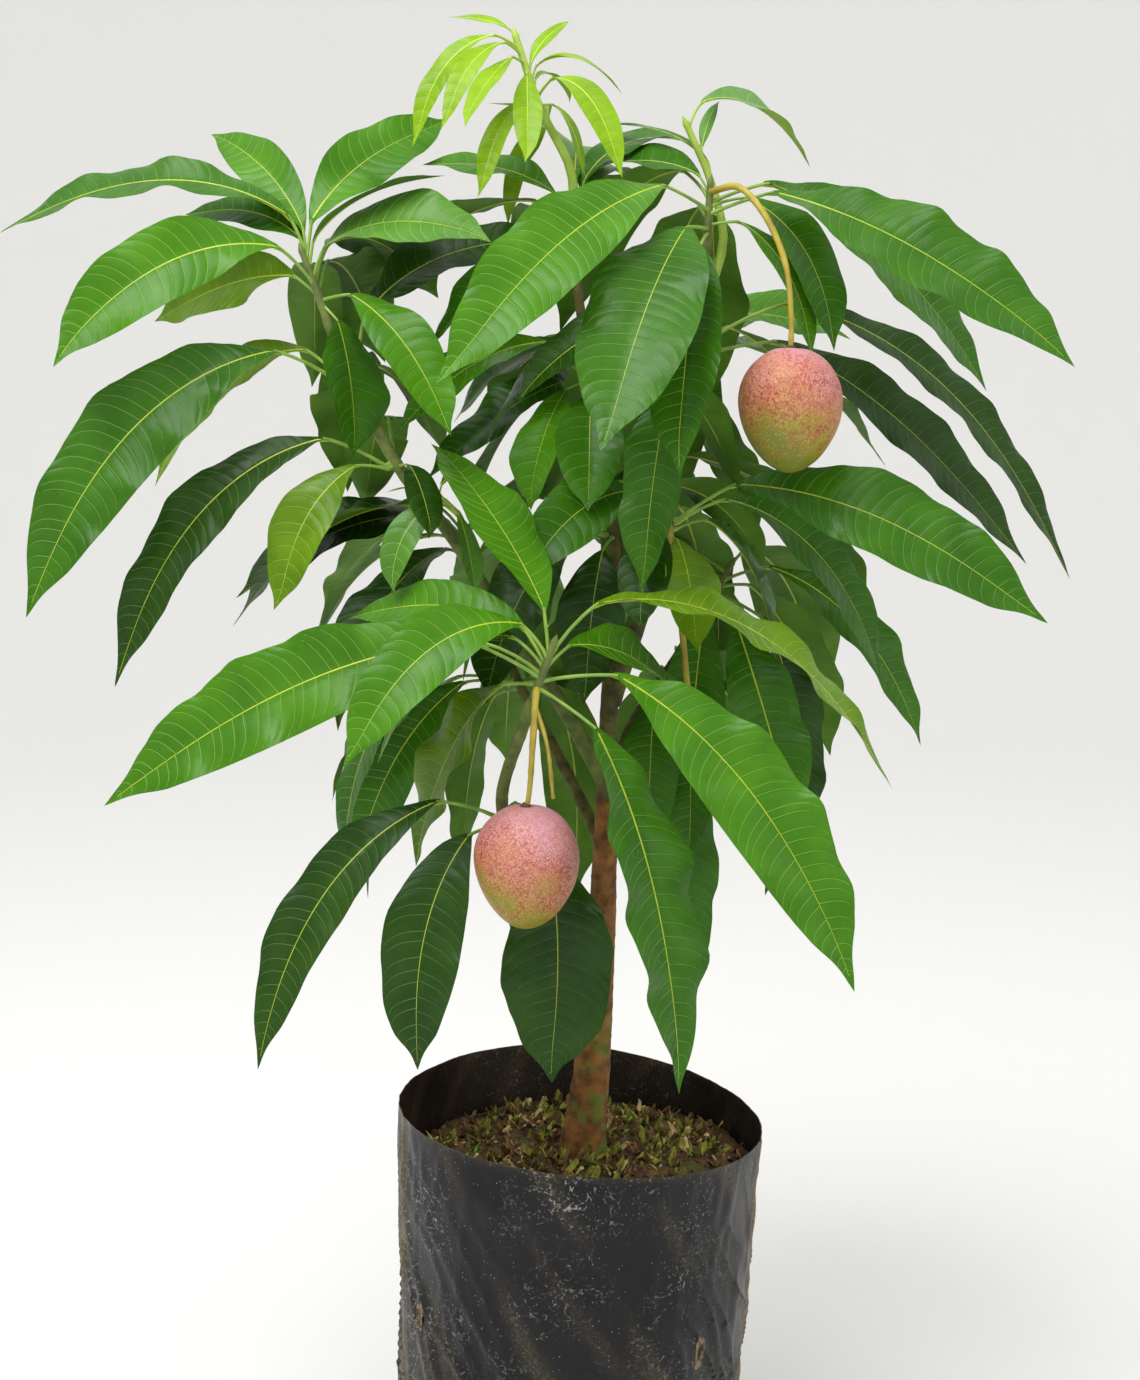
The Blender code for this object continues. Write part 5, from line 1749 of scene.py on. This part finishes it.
spin = add(strewn, "FunctionNodeRandomValue", {
    0: vectors(strewn, "SCALE", (-1, -1, 0), given["Tilt"]),
    1: add(strewn, "ShaderNodeCombineXYZ", {0: given["Tilt"], 1: given["Tilt"], 2: 6.283}, out=0),
    8: given["Seed"]}, out="Value", data_type="FLOAT_VECTOR")
size = add(strewn, "FunctionNodeRandomValue", {
    2: given["Smallest"], 3: given["Largest"], 8: sums(strewn, "ADD", given["Seed"], 5)},
    out="Value", data_type="FLOAT")
laid = add(strewn, "GeometryNodeInstanceOnPoints", {
    "Points": drops.outputs[0], "Instance": shape, "Rotation": spin, "Scale": size}, out=0)
laid = realized(strewn, laid)
strewn.links.new(add(strewn, "GeometryNodeSetMaterial", {
    "Geometry": laid, "Material": given["Material"]}, out=0), made["Geometry"])
print("litter tree:", len(strewn.nodes), "nodes")


# %% Small shapes to strew
def strip(name, length, width, curl, twist, lift):
    """A curled strip with a little thickness: 6 stretches long, closed all round."""
    work = bmesh.new()
    rings = []
    for k in range(7):
        t = k / 6
        bend = curl * (t - 0.5)
        x = length * (t - 0.5) if not curl else length / curl * math.sin(bend)
        z = lift + (length / curl * (1 - math.cos(bend)) if curl else 0.0)
        z += 0.12 * length * math.sin(t * 9)
        y = 0.10 * length * math.sin(t * 7 + 1)
        half = width / 2 * (0.35 + 0.65 * math.sin(math.pi * (0.1 + 0.8 * t)))
        a = twist * (t - 0.5)
        across = Vector((0, math.cos(a), math.sin(a))) * half
        up = Vector((0, -math.sin(a), math.cos(a))) * width * 0.09
        centre = Vector((x, y, z))
        rings.append([work.verts.new(centre + v) for v in (across, up, -across, -up)])
    join_rings(work, rings)
    work.faces.new(rings[0][::-1])
    work.faces.new(rings[-1])
    bmesh.ops.recalc_face_normals(work, faces=work.faces)
    return piece_from(work, name, smooth=False)


def crumb(name, size):
    """A lump of soil with a few uneven faces."""
    work = bmesh.new()
    bmesh.ops.create_icosphere(work, subdivisions=1, radius=size)
    for vert in work.verts:
        vert.co *= 1 + 0.45 * noise.noise(vert.co / size * 1.7)
        vert.co.z *= 0.7
    return piece_from(work, name, smooth=False)


def litter_finish(name, low, high):
    """Dry or mossy litter in two close colours."""
    made, tree, sockets = finish(name, Roughness=0.9)
    tree.links.new(clouds(tree, low, high, 140.0), sockets["Base Color"])
    grained(tree, sockets, (500.0, 1500.0, 0.5), 0.6, 0.0006)
    return made


print("materials before the litter's:", len(bpy.data.materials))

# %% Strew the top of the soil
# Each kind: its shape, how many at most on a square metre, its seed, its smallest and largest
# size, how far it tilts, and its two colours.
LITTER = {
    "crumbs": (crumb("crumb_shape", 0.0019), 52000, 1, 0.35, 1.3, 1.5, "281a0c", "7a5832"),
    "pale_crumbs": (crumb("pale_shape", 0.0016), 8000, 2, 0.4, 1.2, 1.5, "94753f", "c9ab6e"),
    "brown_strips": (strip("strip_shape", 0.021, 0.0046, 2.2, 1.8, 0.0016),
                     13000, 3, 0.45, 1.25, 0.35, "3d2812", "84633a"),
    "moss_strips": (strip("moss_shape", 0.022, 0.0052, 2.6, 2.4, 0.0018),
                    10000, 4, 0.4, 1.25, 0.4, "454c10", "a09c3a"),
    "bright_moss": (strip("sprig_shape", 0.011, 0.0026, 1.8, 1.4, 0.0022),
                    2600, 5, 0.5, 1.2, 0.5, "4f7018", "8cad38"),
    "straw": (strip("straw_shape", 0.019, 0.0046, 1.8, 1.4, 0.0020),
              4200, 6, 0.4, 1.15, 0.3, "9c8048", "dcc48a"),
}
LITTER_MIDDLE = Vector((0.010, 0))
LITTER_REACH = 0.124
CLEAR_OF_TRUNK = 0.024
LEVEL_ENOUGH = 0.4

ground_work = bmesh.new()
ground_work.from_mesh(soil.data)
unwanted = [f for f in ground_work.faces if f.normal.z < LEVEL_ENOUGH or len(f.verts) > 4
            or (f.calc_center_median().xy - trunk_foot.xy).length < CLEAR_OF_TRUNK
            or (f.calc_center_median().xy - LITTER_MIDDLE).length > LITTER_REACH]
bmesh.ops.delete(ground_work, geom=unwanted, context="FACES")
ground_mesh = bpy.data.meshes.new("soil_top")
ground_work.to_mesh(ground_mesh)
ground_work.free()

litter_pieces = []
for name, (shape, density, seed, small, large, tilt, low, high) in LITTER.items():
    piece = grown_from(shown("litter_" + name, ground_mesh.copy()), strewn, {
        "Density": float(density), "Seed": seed, "Smallest": small, "Largest": large,
        "Tilt": tilt, "Shape": shape, "Material": litter_finish("litter_" + name, low, high)})
    bpy.data.objects.remove(shape, do_unlink=True)
    litter_pieces.append(piece)
    print(piece.name, faces_of(piece), "triangles")

# %% [markdown]
# ## Hand the pieces over
#
# Every piece stands for the solids that it covers, so those stop showing while the physics
# keeps them. Each rides on the plant's one body.

# %% What each piece stands for
WORKING_VALUES = {"number", "across", "thick", "half", "wave_left", "wave_right", "along",
                  "paint", "young", "tone", "up", "centre", "side", "lean", "sink"}


def hand_over(piece, slot, *nodes):
    """Ride on the one body and stand for some solids. The slot is not used."""
    for layer in [a.name for a in piece.data.attributes if a.name in WORKING_VALUES]:
        piece.data.attributes.remove(piece.data.attributes[layer])
    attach(piece, "root")
    if nodes:
        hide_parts(*nodes)


for name, piece in leaf_pieces.items():
    leaf_slot = "young_leaf" if name in YOUNG else "leaf"
    hand_over(piece, leaf_slot, name)
    hand_over(twig_pieces[name], leaf_slot, name)
for name, piece in limb_pieces.items():
    hand_over(piece, "bark", name)
for name, pieces in fruit_pieces.items():
    for piece in pieces:
        hand_over(piece, "fruit", name)
hand_over(bag, "film", "grow_bag")
hand_over(holes, "film")
hand_over(soil, "soil", "soil")
for piece in litter_pieces:
    hand_over(piece, "soil")
print("pieces:", len(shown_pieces()), "triangles:", sum(faces_of(p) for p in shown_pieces()))
